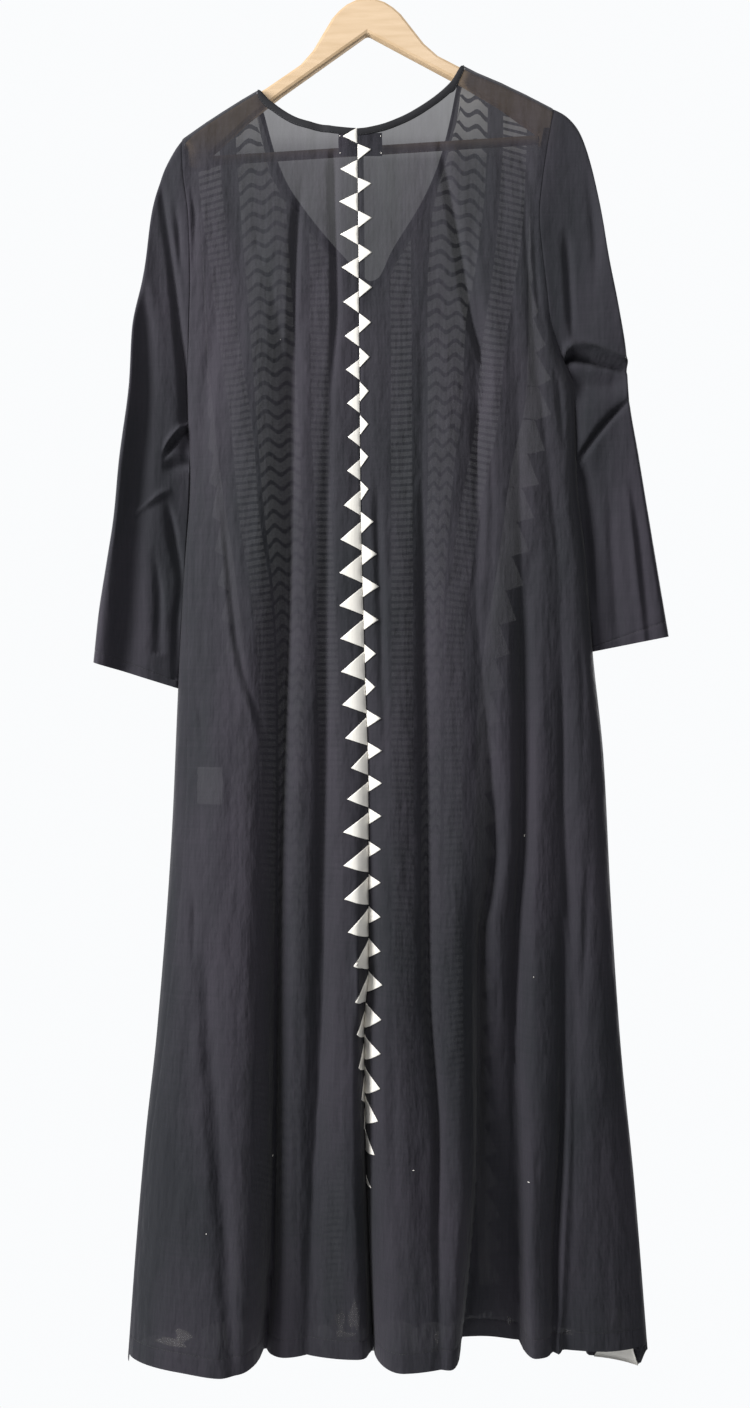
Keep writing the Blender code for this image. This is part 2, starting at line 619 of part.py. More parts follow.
def laid_on(name, points, normals, color):
    """A flat trim of its own thickness over points of a panel."""
    return wall(name, points + normals * (TRIM_GAP + TRIM), points + normals * TRIM_GAP, color)


def binding(name, grid, sign):
    """The neck's binding, over the top rows of a layer between the neck points."""
    inside = np.nonzero(np.abs(grid[0, :, 0]) < BINDING_END)[0]
    rows, columns = slice(0, len(TOP_ROWS)), slice(inside[0], inside[-1] + 1)
    laid_on(name, grid[rows, columns], outward(grid, sign)[rows, columns], BLACK_VOILE)


def sawtooth(side, strip, middle, teeth, reach, first_tip):
    """A comb of triangles on the two columns next to the middle seam.

    "middle" leads over the seam to the right. Where the two halves face each other, the
    comb starts further up its own half, so that it stays there.
    """
    turn = -1 if side == "left" else 1
    seam_at = 0.5 - 0.5 * turn
    width = through(teeth)
    depths = -strip[:, 0, 2]
    numbers = np.arange(len(depths))
    corners = first_tip + TOOTH_PITCH / 2 * np.arange(-1, 2 * TEETH_TO / TOOTH_PITCH)
    rising = np.arange(len(corners)) % 2
    stops = {TEETH_FROM, TEETH_TO} | {d for d in (*corners, *depths) if TEETH_FROM < d < TEETH_TO}
    across = unit(strip[:, 1] - strip[:, 0]) * turn
    normals = unit(np.cross(across * turn, np.gradient(strip[:, 0], axis=0))) * -1
    bends = np.abs(((strip[:-1, 0] + strip[1:, 1] - strip[:-1, 1] - strip[1:, 0])
                    * normals[1:]).sum(axis=-1)) * BEND_SHARE
    outer, inner = [], []
    for stop in sorted(stops):
        row = float(np.interp(stop, depths, numbers))
        over = unit(on_grid(np.stack([across, across], axis=1), row, 0.0))
        normal = unit(on_grid(np.stack([normals, normals], axis=1), row, 0.0))
        away = unit(on_grid(middle, row, 0.0)) * turn
        gap = TRIM_GAP + float(np.interp(row, numbers[:-1] + 0.5, bends))
        facing = float(over @ away)
        start = (SEAM_GAP - (gap + TRIM) * float(normal @ away)) / facing
        near = max(TRIM, start)
        tall = float(np.interp(stop, corners, rising))
        far = max(TRIM + tall * (float(width(stop)) - TOOTH_JOIN), near) + TOOTH_JOIN
        for distance in (near, far):
            base = on_grid(strip, row, seam_at + turn * distance / reach)
            inner.append(base + normal * gap)
            outer.append(base + normal * (gap + TRIM))
    shape = (-1, 2, 3)
    wall(f"sawtooth_back_{side}", np.reshape(outer, shape), np.reshape(inner, shape), CREAM)


def sew_bands(grid, names):
    """The front's bands, each over the columns that carry its name."""
    normals = outward(grid, 1)
    middle = len(names) // 2
    for side, half in (("left", range(0, middle)), ("right", range(middle, len(names)))):
        for band, start in BAND_ROWS.items():
            columns = [j for j in half if names[j] == band]
            last = grid.shape[0] - 1 - BAND_END / SIDE_ROWS
            rows = [start] + [r for r in range(int(start) + 1, grid.shape[0] - 1)] + [last]
            points = np.array([[on_grid(grid, r, j) for j in columns] for r in rows])
            directions = np.array([[on_grid(normals, r, j) for j in columns] for r in rows])
            laid_on(f"band_{band}_{side}", points, unit(directions), CREAM)


def make_sleeve(name, rows, edge, side):
    """A sleeve in rings from the armhole to the cuff; side is -1 at the left."""
    depths = edge_rows(edge, 161.0)[: len(TOP_ROWS) + len(ARMHOLE_ROWS)]
    share = (depths - depths[0]) / (depths[-1] - depths[0])
    armhole = np.stack([edge(depths), depths], axis=1)
    armhole_half = armhole_out(edge, depths)
    curves = [through(rows, i) for i in range(1, 6)]
    straight_armhole = None
    rings = []
    for t in RING_STEPS:
        across, down, in_across, in_down, half = (float(curve(t)) for curve in curves)
        outer, inner = np.array((across, down)), np.array((in_across, in_down))
        straight = outer + (inner - outer) * share[:, None]
        if straight_armhole is None:
            straight_armhole = straight
        settled = min(t / SLEEVE_SETTLED, 1.0)
        flat = straight + (armhole - straight_armhole) * (1 - settled) ** 2
        width = np.linalg.norm(inner - outer)
        deep = half * rounded(share * width, SHOULDER_ROUND)
        deep *= rounded((1 - share) * width, EDGE_ROUND)
        deep = armhole_half * (1 - settled) + deep * settled
        behind = np.stack([flat[:, 0], -deep, -flat[:, 1]], axis=1)
        ahead = np.stack([flat[:, 0], deep, -flat[:, 1]], axis=1)[-2:0:-1]
        rings.append(np.concatenate([behind, ahead]))
    grid = np.array(rings)
    grid[0, :, 0] += side * SEAM_GAP / 2
    inner = grid - outward(grid, side, ring=True) * WALL
    inner[0] = held_back(grid[0], inner[0], np.array((-side, 0, 0), float))
    wall(name, grid, inner, BLACK_VOILE, ring=True)


def make_label(name, across, down, color):
    """A plain label against the inside of the back."""
    xs, depths = np.meshgrid(np.linspace(*across, 7), np.linspace(*down, 5))
    cloth = BACK.point(xs, depths)
    inwards = -outward(cloth, -1)
    near = WALL + LABEL_GAP
    wall(name, cloth + inwards * near, cloth + inwards * (near + TRIM), color)


def hang(item):
    """Tilt a piece of the hanger about the hook."""
    item.rotation_euler = (0, -TILT, 0)


def make_wood():
    """The hanger's wooden body, mirrored about its middle."""
    right = [(x, -d) for x, d in WOOD_TOP + WOOD_END]
    outline = right + [(-x, z) for x, z in reversed(right[1:-1])]
    half = WOOD_THICK / 2
    points = [(x, y, z) for y in (-half, half) for x, z in outline]
    n = len(outline)
    faces = [tuple(range(n)), tuple(range(2 * n - 1, n - 1, -1))]
    faces += [(i, (i + 1) % n, n + (i + 1) % n, n + i) for i in range(n)]
    wood = mesh_object("hanger_wood", points, faces, BEECH)
    edge = wood.modifiers.new("rounded edges", "BEVEL")
    edge.width = WOOD_EDGE * CM
    edge.segments = 2
    edge.limit_method = "ANGLE"
    edge.angle_limit = math.radians(60)
    hang(wood)


def rod(name, radius, start, end, color, metallic=0.0):
    """A straight round rod between two points of the hanger's plane."""
    bpy.ops.mesh.primitive_cylinder_add(vertices=20, radius=radius * CM,
                                        depth=math.dist(start, end) * CM)
    item = bpy.context.object
    item.name = name
    item.data.name = name
    middle = ((start[0] + end[0]) / 2 * CM, 0, (start[1] + end[1]) / 2 * CM)
    for vertex in item.data.vertices:
        if start[1] == end[1]:
            vertex.co = (vertex.co.z, vertex.co.y, -vertex.co.x)
        vertex.co.x += middle[0]
        vertex.co.z += middle[2]
    dress(item, color, 0.4, metallic)
    hang(item)


def make_hook():
    """The wire hook: an open circle, then a bend into the stem over the wood."""
    radius = HOOK_RADIUS + HOOK_WIRE
    centre = -HOOK_RADIUS
    turns = np.radians(np.linspace(200, -52, 22))
    path = [(radius * math.cos(a), centre + radius * math.sin(a)) for a in turns]
    path += [(0.85, -5.35), (0.2, -6.0), (0.0, -6.75), (0.0, -COLLAR_TOP + SEAM_GAP)]
    curve = bpy.data.curves.new("hanger_hook", "CURVE")
    curve.dimensions = "3D"
    curve.bevel_depth = HOOK_WIRE * CM
    curve.bevel_resolution = 2
    curve.use_fill_caps = True
    spline = curve.splines.new("POLY")
    spline.points.add(len(path) - 1)
    for point, (x, z) in zip(spline.points, path):
        point.co = (x * CM, 0, z * CM, 1)
    item = bpy.data.objects.new("hanger_hook", curve)
    bpy.context.collection.objects.link(item)
    dress(item, STEEL, 0.3, 1.0)
    hang(item)


def make_hanger():
    make_wood()
    make_hook()
    rod("hanger_collar", COLLAR_RADIUS, (0, -COLLAR_TOP), (0, SEAM_GAP - APEX_DOWN), STEEL, 1.0)
    rod("hanger_bar", BAR_RADIUS, (-BAR_HALF, -BAR_DOWN), (BAR_HALF, -BAR_DOWN), BEECH)


def main():
    for item in list(bpy.data.objects):
        bpy.data.objects.remove(item, do_unlink=True)
    make_body()
    make_sleeve("sleeve_left", LEFT_SLEEVE, left_edge, -1)
    make_sleeve("sleeve_right", RIGHT_SLEEVE, right_edge, 1)
    make_label("neck_label", (-2.5, 2.4), (23.9, 26.4), BLACK_VOILE)
    make_label("care_label", (-18.2, -15.2), (94.7, 98.8), PALE_LABEL)
    make_hanger()


main()
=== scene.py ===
"""The looks of a long black voile kaftan, its back outwards, on a wooden suit hanger.

Seen along +Y, +X is to the right and +Z is up, and the kaftan's back is nearest.
The origin is the inside top of the hanger's hook.

The tables are in centimetres. "down" is the depth below the origin, "across" is
along X, and "out" is how far a layer lies from the plane of the hanger: towards -Y
for the back and +Y for the front. The meshes are in metres.
"""

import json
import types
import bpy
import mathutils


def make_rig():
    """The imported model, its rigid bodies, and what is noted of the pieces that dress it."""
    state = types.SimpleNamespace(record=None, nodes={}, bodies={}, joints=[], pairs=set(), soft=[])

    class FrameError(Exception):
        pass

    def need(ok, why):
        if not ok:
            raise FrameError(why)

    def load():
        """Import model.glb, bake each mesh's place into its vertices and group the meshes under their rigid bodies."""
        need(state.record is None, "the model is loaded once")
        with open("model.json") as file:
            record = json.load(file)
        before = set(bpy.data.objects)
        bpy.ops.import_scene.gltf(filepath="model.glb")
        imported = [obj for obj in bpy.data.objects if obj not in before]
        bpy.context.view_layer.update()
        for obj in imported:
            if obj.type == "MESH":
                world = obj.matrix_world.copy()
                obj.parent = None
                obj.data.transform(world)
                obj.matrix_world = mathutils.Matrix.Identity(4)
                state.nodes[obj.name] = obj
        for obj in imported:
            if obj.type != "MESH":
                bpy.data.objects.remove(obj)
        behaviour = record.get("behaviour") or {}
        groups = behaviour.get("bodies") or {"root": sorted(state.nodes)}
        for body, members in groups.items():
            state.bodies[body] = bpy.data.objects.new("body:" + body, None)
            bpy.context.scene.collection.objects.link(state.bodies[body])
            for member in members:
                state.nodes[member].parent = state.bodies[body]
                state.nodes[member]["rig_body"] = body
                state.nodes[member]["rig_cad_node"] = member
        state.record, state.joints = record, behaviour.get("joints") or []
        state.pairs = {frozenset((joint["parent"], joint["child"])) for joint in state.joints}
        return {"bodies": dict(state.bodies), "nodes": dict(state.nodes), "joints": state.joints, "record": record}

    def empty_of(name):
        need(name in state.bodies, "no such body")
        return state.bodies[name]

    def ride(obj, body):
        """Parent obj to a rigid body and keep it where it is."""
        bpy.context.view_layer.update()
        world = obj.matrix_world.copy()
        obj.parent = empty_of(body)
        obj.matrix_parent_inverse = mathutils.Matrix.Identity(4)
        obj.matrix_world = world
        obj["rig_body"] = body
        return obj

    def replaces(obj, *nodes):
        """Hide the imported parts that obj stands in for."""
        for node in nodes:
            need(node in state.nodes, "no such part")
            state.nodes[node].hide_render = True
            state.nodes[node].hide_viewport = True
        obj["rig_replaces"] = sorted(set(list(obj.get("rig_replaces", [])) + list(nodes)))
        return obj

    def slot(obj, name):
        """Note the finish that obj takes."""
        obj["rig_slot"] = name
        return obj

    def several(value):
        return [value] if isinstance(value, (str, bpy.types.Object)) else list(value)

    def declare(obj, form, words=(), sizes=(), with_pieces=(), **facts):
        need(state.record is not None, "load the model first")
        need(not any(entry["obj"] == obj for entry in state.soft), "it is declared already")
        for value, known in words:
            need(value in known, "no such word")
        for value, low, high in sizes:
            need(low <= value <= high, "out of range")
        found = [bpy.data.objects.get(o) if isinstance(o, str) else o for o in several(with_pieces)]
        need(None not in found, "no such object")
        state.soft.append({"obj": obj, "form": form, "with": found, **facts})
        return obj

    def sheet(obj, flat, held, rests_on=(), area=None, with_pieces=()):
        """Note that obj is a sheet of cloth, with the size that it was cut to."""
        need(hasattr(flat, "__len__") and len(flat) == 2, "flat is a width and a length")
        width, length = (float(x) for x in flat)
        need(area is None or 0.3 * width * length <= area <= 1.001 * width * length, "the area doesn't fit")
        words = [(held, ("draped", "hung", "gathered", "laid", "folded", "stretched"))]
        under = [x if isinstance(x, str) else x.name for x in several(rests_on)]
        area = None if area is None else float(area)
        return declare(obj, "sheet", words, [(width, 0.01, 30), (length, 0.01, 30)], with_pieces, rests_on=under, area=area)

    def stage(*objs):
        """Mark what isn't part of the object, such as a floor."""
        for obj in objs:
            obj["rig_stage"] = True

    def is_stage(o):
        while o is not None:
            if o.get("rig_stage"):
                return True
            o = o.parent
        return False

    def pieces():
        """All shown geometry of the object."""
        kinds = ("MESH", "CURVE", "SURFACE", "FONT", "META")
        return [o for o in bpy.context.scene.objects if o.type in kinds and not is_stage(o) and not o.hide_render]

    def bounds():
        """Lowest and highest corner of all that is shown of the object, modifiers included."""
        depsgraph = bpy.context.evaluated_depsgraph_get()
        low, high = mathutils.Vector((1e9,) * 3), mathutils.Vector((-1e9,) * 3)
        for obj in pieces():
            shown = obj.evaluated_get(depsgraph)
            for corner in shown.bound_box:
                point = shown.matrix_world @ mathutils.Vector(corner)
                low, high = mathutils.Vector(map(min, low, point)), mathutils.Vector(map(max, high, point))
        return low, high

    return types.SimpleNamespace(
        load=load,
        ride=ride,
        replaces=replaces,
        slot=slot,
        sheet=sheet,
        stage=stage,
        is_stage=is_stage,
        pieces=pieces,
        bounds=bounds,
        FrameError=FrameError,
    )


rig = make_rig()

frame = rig.load()
CAD_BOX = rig.bounds()

import json
import math

import bpy
import numpy as np

CM = 0.01

# How the kaftan hangs. Its front turns round the left side in a few columns.
TURN_START = 0.28
TURN_SHARES = (1.0, 0.8, 0.6, 0.4, 0.2)
WHOLE_WRAP = 0.5
BODY_END = 161.0
UNDERARM = 53.0
EDGE_ROUND = 0.5
SHOULDER_ROUND = 1.0
ARMHOLE_TOP_OUT = 1.1
ARMHOLE_MID_OUT = 0.8
FOLD_POWER = 0.95
SHARP_FOLD_DROP = 0.5
SHARP_FOLD_DEPTH = 5.0

# How the sleeves hang. They lean: the outer edge stands nearer, and the inner one is
# tucked behind the body. The creases of a hidden side are weaker and shifted.
SLEEVE_LENGTH = 62.0
ARMHOLE_LENGTH = 29.0
SLEEVE_SETTLED = 0.25
SLEEVE_LEAN = (-0.6, 1.2)
SLEEVE_TUCK = 0.45
TUCK_SETTLED = 0.04
HIDDEN_SIDE = 0.75
HIDDEN_SHIFT = 0.6

# Hanger
TILT = math.radians(3.65)
ABOVE_WOOD = 0.32

# The upper edge of the hanger's right half before it tilts: (across, down)
WOOD_TOP = (
    (0, 8), (1.1, 8.1), (2.2, 8.55), (3.1, 9.2), (3.9, 10), (5.1, 11.75), (6.3, 13.5), (7.8, 15),
    (9.9, 16.25), (12, 17.5), (14.7, 18.85), (17, 20.1), (18.75, 21.1), (20.5, 22.2),
)
SHOULDER_END = (22.5, 23.46)

# Outlines of the body seen from behind: (down, across) of the armhole, then the side
LEFT_EDGE = (
    (24, -20.1), (27.2, -20), (33.2, -19.3), (39.4, -19.1), (45.3, -19.3), (53, -19.65), (62.9, -19.4),
    (72.4, -20), (85.9, -20.7), (102, -21.4), (124.7, -23.1), (136.6, -24.4), (147.1, -25.3),
    (161, -26.3),
)
RIGHT_EDGE = (
    (20.6, 21.7), (24.9, 20.9), (29.5, 20.2), (32.9, 19.9), (36.7, 20.2), (40.6, 20.7), (44.4, 21.2),
    (47.8, 22.3), (53, 24.3), (62.3, 24.5), (70.7, 25.4), (82.3, 26.3), (93.9, 27.5), (109.6, 28.3),
    (126, 29.4), (142.2, 31), (161, 32.5),
)
# How far the front's left side comes round to the back before its seam: (down, width)
WRAP = ((53, 0), (64, 0.2), (75, 0.7), (90, 1.5), (105, 1.75), (118, 1.4), (132, 1.05), (161, 0.5))

# The necks and hems: (across, down)
NECK_LEFT = -11.7
NECK_RIGHT = 11.7
BACK_NECK = (
    (-11.7, 18.3), (-10.1, 20), (-6.7, 22.1), (-2.5, 23.05), (-0.3, 23.2), (1.9, 22.85), (4.5, 21.9),
    (7.1, 20.4), (10.1, 17.9), (11.3, 16), (11.7, 15.6),
)
FRONT_NECK = (
    (-11.7, 18.3), (-11.1, 20.2), (-9.9, 24.6), (-8.5, 28), (-7.3, 29.9), (-4.2, 33.9), (-0.1, 38.3),
    (1, 39.2), (1.9, 38.9), (3.5, 35.8), (7.3, 29.5), (9.1, 25.2), (10.2, 20.9), (11.3, 16),
    (11.7, 15.6),
)
BACK_HEM = (
    (-26.3, 160.1), (-20, 160), (-14.5, 160.3), (-11.5, 160), (-9.5, 159.9), (2, 159.8), (9, 159.6),
    (14, 159.2), (19, 159.7), (25, 159.5), (32.5, 159.7),
)
FRONT_HEM = (
    (-26.3, 160.9), (-15, 160.4), (-4.4, 160.4), (-2.4, 162.4), (-0.4, 160.4), (9, 159.6), (17, 159.4),
    (25, 160.4), (26.4, 163.3), (31.8, 163.3), (32.5, 160.8),
)

# The back's fold lines from left to right: rows of (down, across, out)
BACK_FOLDS = (
    ((22, -5.6, 1.5), (31, -6.5, 1.1), (36, -7.5, 0.6), (50, -8.1, 0.4), (80, -8.6, 0.35),
     (112, -9.5, 0.3), (147, -9.9, 0.5), (161, -10.9, 1.4)),
    ((22, -3.6, 1.6), (60, -3.6, 1.6), (72, -3.8, 1.7), (98, -4.1, 1.9), (118, -4.2, 2.2),
     (140, -5.2, 2.6), (161, -6, 2.9)),
    ((22, -0.4, 1.55), (42, -0.2, 1.5), (65, 0, 1.7), (85, 0.5, 2.1), (97, 0.85, 2.3), (117, 0.85, 2),
     (124, 0.35, 1.6), (140, 0.6, 1.1), (161, 1.5, 1.3)),
    ((20, 6.3, 1.5), (31, 6.9, 1.2), (70, 6.9, 1.5), (98, 7.3, 2), (118, 7.5, 2.8), (140, 8.5, 4.6),
     (161, 8.8, 6.6)),
    ((18, 8.4, 1.4), (31, 9.8, 1.1), (41, 11.9, 0.8), (48, 13.3, 0.7), (60, 12.9, 1.3), (75, 12.9, 2.1),
     (90, 14.2, 2), (104, 15, 1.2), (114, 13.3, 0.9), (140, 13.1, 0.45), (152, 12.2, 0.1),
     (161, 11.1, 0)),
    ((19, 16, 1.3), (50, 17.3, 1.9), (72, 17.9, 1.7), (84, 18.1, 1.3), (103, 18.1, 1.3),
     (112, 17.6, 1.1), (127, 17.4, 0.8), (145, 17.7, 0.4), (161, 17.9, 0.1)),
    ((20, 18.6, 1.2), (42, 19, 1.6), (57, 20.5, 1.6), (75, 22.3, 1.7), (98, 22.6, 1.6),
     (113, 23.2, 1.2), (124, 23.2, 1.3), (139, 22.3, 1.7), (149, 21.5, 2.1), (161, 22.5, 2.3)),
)
MIDDLE_FOLD = 2
# The crest between each two neighbouring lines: a row is (down, out of each crest)
BACK_CRESTS = (
    (24, 1.2, 1.4, 1.6, 1.55, 1.4, 1.3, 1.2, 1.1),
    (45, 2.2, 1.7, 1.6, 1.7, 1.5, 2.3, 2.0, 1.8),
    (70, 2.8, 2.1, 2.1, 2.3, 2.3, 2.6, 2.2, 1.9),
    (100, 3.8, 2.8, 3.2, 3.4, 3.2, 2.6, 2.6, 2.3),
    (130, 5.2, 3.2, 4.6, 5.0, 4.6, 1.6, 3.2, 2.7),
    (161, 7.2, 3.6, 4.1, 7.2, 6.9, 0.1, 4.2, 3.0),
)
BACK_PEAKS = ((24, 0.6, 0.5, 0.6, 0.4, 0.5, 0.4, 0.4, 0.4),
              (161, 0.78, 0.5, 0.78, 0.45, 0.4, 0.5, 0.3, 0.4))

FRONT_FOLDS = (
    ((24, -18.5, 1.1), (45, -18, 1.4), (75, -16.5, 1.5), (110, -17.5, 2.2), (161, -19.5, 2.8)),
    ((24, -14.3, 1.2), (45, -12.2, 1.2), (75, -9.5, 0.9), (110, -9.6, 1.4), (161, -10.3, 2.6)),
    ((24, -6.6, 1.3), (45, -6.6, 1.3), (75, -6.2, 1.1), (110, -6.2, 1.5), (161, -6.4, 2.6)),
    ((24, 1, 1.3), (45, 1, 1.5), (75, 1, 1.3), (110, 1, 1.6), (161, 1, 2.7)),
    ((24, 6.9, 1.3), (45, 6.6, 1.2), (75, 6.4, 1), (110, 6.4, 1.4), (161, 6.4, 2.6)),
    ((24, 14.3, 1.2), (45, 12.6, 1.3), (75, 9.4, 0.9), (110, 9.4, 1.4), (161, 10, 2.6)),
    ((24, 18.8, 1.1), (45, 19.2, 1.4), (75, 18.5, 1.5), (110, 18.9, 2.2), (161, 20.5, 2.8)),
)
FRONT_CRESTS = (
    (24, 1.2, 1.3, 1.4, 1.4, 1.4, 1.4, 1.3, 1.2),
    (45, 1.7, 2.0, 2.2, 2.0, 2.0, 2.1, 2.2, 1.7),
    (75, 2.0, 2.6, 2.2, 2.4, 2.3, 2.2, 2.6, 2.0),
    (110, 2.6, 3.6, 2.6, 3.2, 3.0, 2.6, 3.8, 2.6),
    (161, 3.6, 5.6, 4.2, 5.4, 5.0, 4.0, 6.0, 3.6),
)
FRONT_PEAKS = ((24, 0.5, 0.5, 0.5, 0.5, 0.5, 0.5, 0.5, 0.5),
               (161, 0.6, 0.4, 0.55, 0.5, 0.45, 0.5, 0.6, 0.4))

# Sleeves: rows of (t, outer across, outer down, inner across, inner down, half depth)
LEFT_SLEEVE = (
    (0, -20.1, 24, -19.65, 53, 1.5), (0.03, -21, 25.3, -19.85, 53.6, 1.5),
    (0.08, -22.3, 28, -19.9, 55, 1.6), (0.15, -23.5, 32.4, -19.8, 57.5, 1.7),
    (0.25, -24.2, 38.3, -19.7, 61, 1.7), (0.37, -25.6, 45.7, -19.8, 65, 1.6),
    (0.47, -25.9, 51.5, -20.05, 69, 1.5), (0.6, -27.1, 60.5, -20.3, 73.5, 1.4),
    (0.7, -27.7, 66.5, -20.5, 77, 1.3), (0.8, -28.6, 72, -20.7, 80, 1.2),
    (0.9, -29.5, 77.5, -20.8, 83, 1.15), (1, -30.1, 83, -20.95, 86, 1.1),
)
RIGHT_SLEEVE = (
    (0, 21.7, 20.6, 24.3, 53, 1.5), (0.03, 23.1, 21.4, 24.55, 53.6, 1.5),
    (0.07, 24.6, 23.2, 24.65, 55, 1.6), (0.12, 25.7, 26.3, 24.65, 57, 1.7),
    (0.2, 26.7, 31, 24.7, 60, 1.9), (0.3, 27.7, 37.1, 24.85, 63.5, 2), (0.4, 28.9, 43, 25.25, 67, 1.9),
    (0.5, 29.8, 48.3, 25.55, 70, 1.6), (0.58, 30.1, 52.8, 25.8, 72.5, 1.4),
    (0.7, 31.3, 60, 26.05, 75.5, 1.3), (0.85, 32.9, 69.5, 26.3, 79, 1.2),
    (1, 34.7, 80.1, 26.5, 81.8, 1.1),
)

# The comb of triangles on each back half: (tooth, its tip's depth, how far the tip stands
# from the seam, and how far its base runs above the tip and below it)
LEFT_COMB = (
    (0, 24.15, 1.6, 0.95, 0.75), (1, 27.85, 1.9, 1.05, 1.05), (2, 31.55, 2.05, 1, 1.1),
    (4, 38.9, 1.85, 1.1, 1.2), (6, 46.5, 1.6, 1.15, 1.15), (9, 57.85, 1.35, 1.15, 1),
    (10, 61.65, 1.45, 1.3, 1), (12, 69.35, 2.28, 2, 1.2), (14, 76.75, 2.6, 2.1, 1),
    (17, 87.8, 2.6, 2.3, 0.95), (18, 91.5, 2.4, 2.3, 0.8), (19, 94.8, 1.85, 1.9, 0.8),
    (20, 98.25, 2.3, 1.9, 0.95), (21, 101.9, 2.75, 2.1, 0.9), (23, 109.25, 2.6, 2.3, 0.8),
    (24, 112.85, 2.2, 2.4, 0.75), (25, 116.5, 1.55, 2.5, 0.7), (26, 120.4, 1.15, 2.5, 0.5),
    (27, 124, 0.75, 2, 0.9), (28, 127.7, 0.6, 2, 0.9), (29, 131.4, 0.35, 2, 0.9),
    (30, 135, 0.15, 2, 0.5),
)
RIGHT_COMB = (
    (0, 25.6, 1.5, 0.6, 1.15), (1, 29.5, 1.5, 0.65, 1.05), (4, 41.1, 1.45, 1, 1.1),
    (7, 52.7, 1, 1.05, 1.1), (10, 63.7, 0.9, 0.9, 1.2), (11, 67.35, 1.36, 1.1, 1.25),
    (13, 74.6, 1.8, 1.15, 1.15), (16, 85.8, 1.1, 1, 1), (17, 89.3, 1.6, 0.95, 1),
    (22, 107.45, 1.4, 0.8, 0.95), (24, 115, 1.38, 1.26, 0.92), (25, 118.65, 1.65, 1.2, 1.16),
    (26, 122.4, 1.9, 1.4, 1.5), (27, 126.1, 1.9, 1.5, 1.35), (28, 129.9, 1.8, 1.8, 1.3),
    (29, 133.5, 1.5, 2.2, 0.95), (30, 137.3, 1.05, 2.05, 0.3), (31, 141.1, 0.6, 0.6, 0.15),
)

# The front's bands as they hang, each side: rows of (down, middle across, width)
LEFT_BANDS = {
    "saw": ((24, 18.95, 0.12), (34, 18.3, 0.12), (48, 17.6, 0.3), (60, 16.9, 1.2), (72, 15.6, 2),
            (84, 14.4, 2.4), (96, 13.6, 2.4), (110, 13.3, 2.2), (161, 15.2, 2.6)),
    "outer": ((24, 17.5, 2.6), (30, 17.1, 2.6), (36, 16.4, 2.4), (42, 15.7, 2.3), (57, 13.6, 2.5),
              (66, 12.9, 2.4), (76, 11.4, 2.3), (86, 10.8, 2.1), (110, 10.9, 2.1), (161, 11.9, 2.6)),
    "wave": ((24, 11.5, 5.6), (31, 11.2, 5.3), (45, 10.2, 5), (56, 9.5, 4.8), (66, 8.9, 4.4),
             (76, 8.2, 3.5), (86, 8, 3), (106, 8.2, 2.6), (161, 8.6, 2.8)),
    "inner": ((24, 4.9, 2.3), (37, 4.8, 2.2), (56, 4.7, 2), (66, 4.3, 1.8), (80, 3.9, 2.3),
              (110, 3.4, 2.8), (161, 3.4, 2.8)),
}
RIGHT_BANDS = {
    "inner": ((24, 4.4, 2.4), (45, 4.6, 2.4), (120, 4.8, 2.6), (161, 4.7, 2.8)),
    "wave": ((20, 12.2, 4.6), (27, 11.7, 5.2), (32, 11, 5.8), (38, 10.4, 5.4), (44, 9.8, 4.4),
             (54, 9.6, 3.9), (60, 9.2, 3), (66, 8.9, 2.6), (80, 8.2, 2.2), (110, 8, 2.2),
             (161, 8.3, 2.6)),
    "outer": ((24, 17.6, 2.7), (33, 17.1, 2.9), (40, 16.2, 2.7), (47, 15.2, 2.7), (55, 14.5, 2.6),
              (65, 12.6, 2.4), (72, 11.6, 2.4), (78, 10.8, 2.4), (88, 10.6, 2.2), (110, 10.6, 2.2),
              (161, 11.6, 2.6)),
    "saw": ((24, 19.5, 0.3), (36, 19.4, 0.4), (41, 19.6, 0.8), (46, 20.1, 1.9), (52, 20.4, 3),
            (61, 18.9, 3.4), (72, 17.3, 3.2), (82, 15.6, 3), (93, 14.6, 2.6), (120, 14.2, 2.6),
            (161, 15.4, 2.8)),
}
# Each band's strokes: where they start, from one to the next, and the cream share of it
BAND_STROKES = {
    "inner": (24.0, 0.79, 0.6), "wave": (15.0, 1.64, 0.68), "outer": (20.0, 0.8, 0.6),
    "saw": (31.8, 3.9, 0.78),
}
BAND_COLUMNS = {"inner": 6, "wave": 16, "outer": 6, "saw": 10}

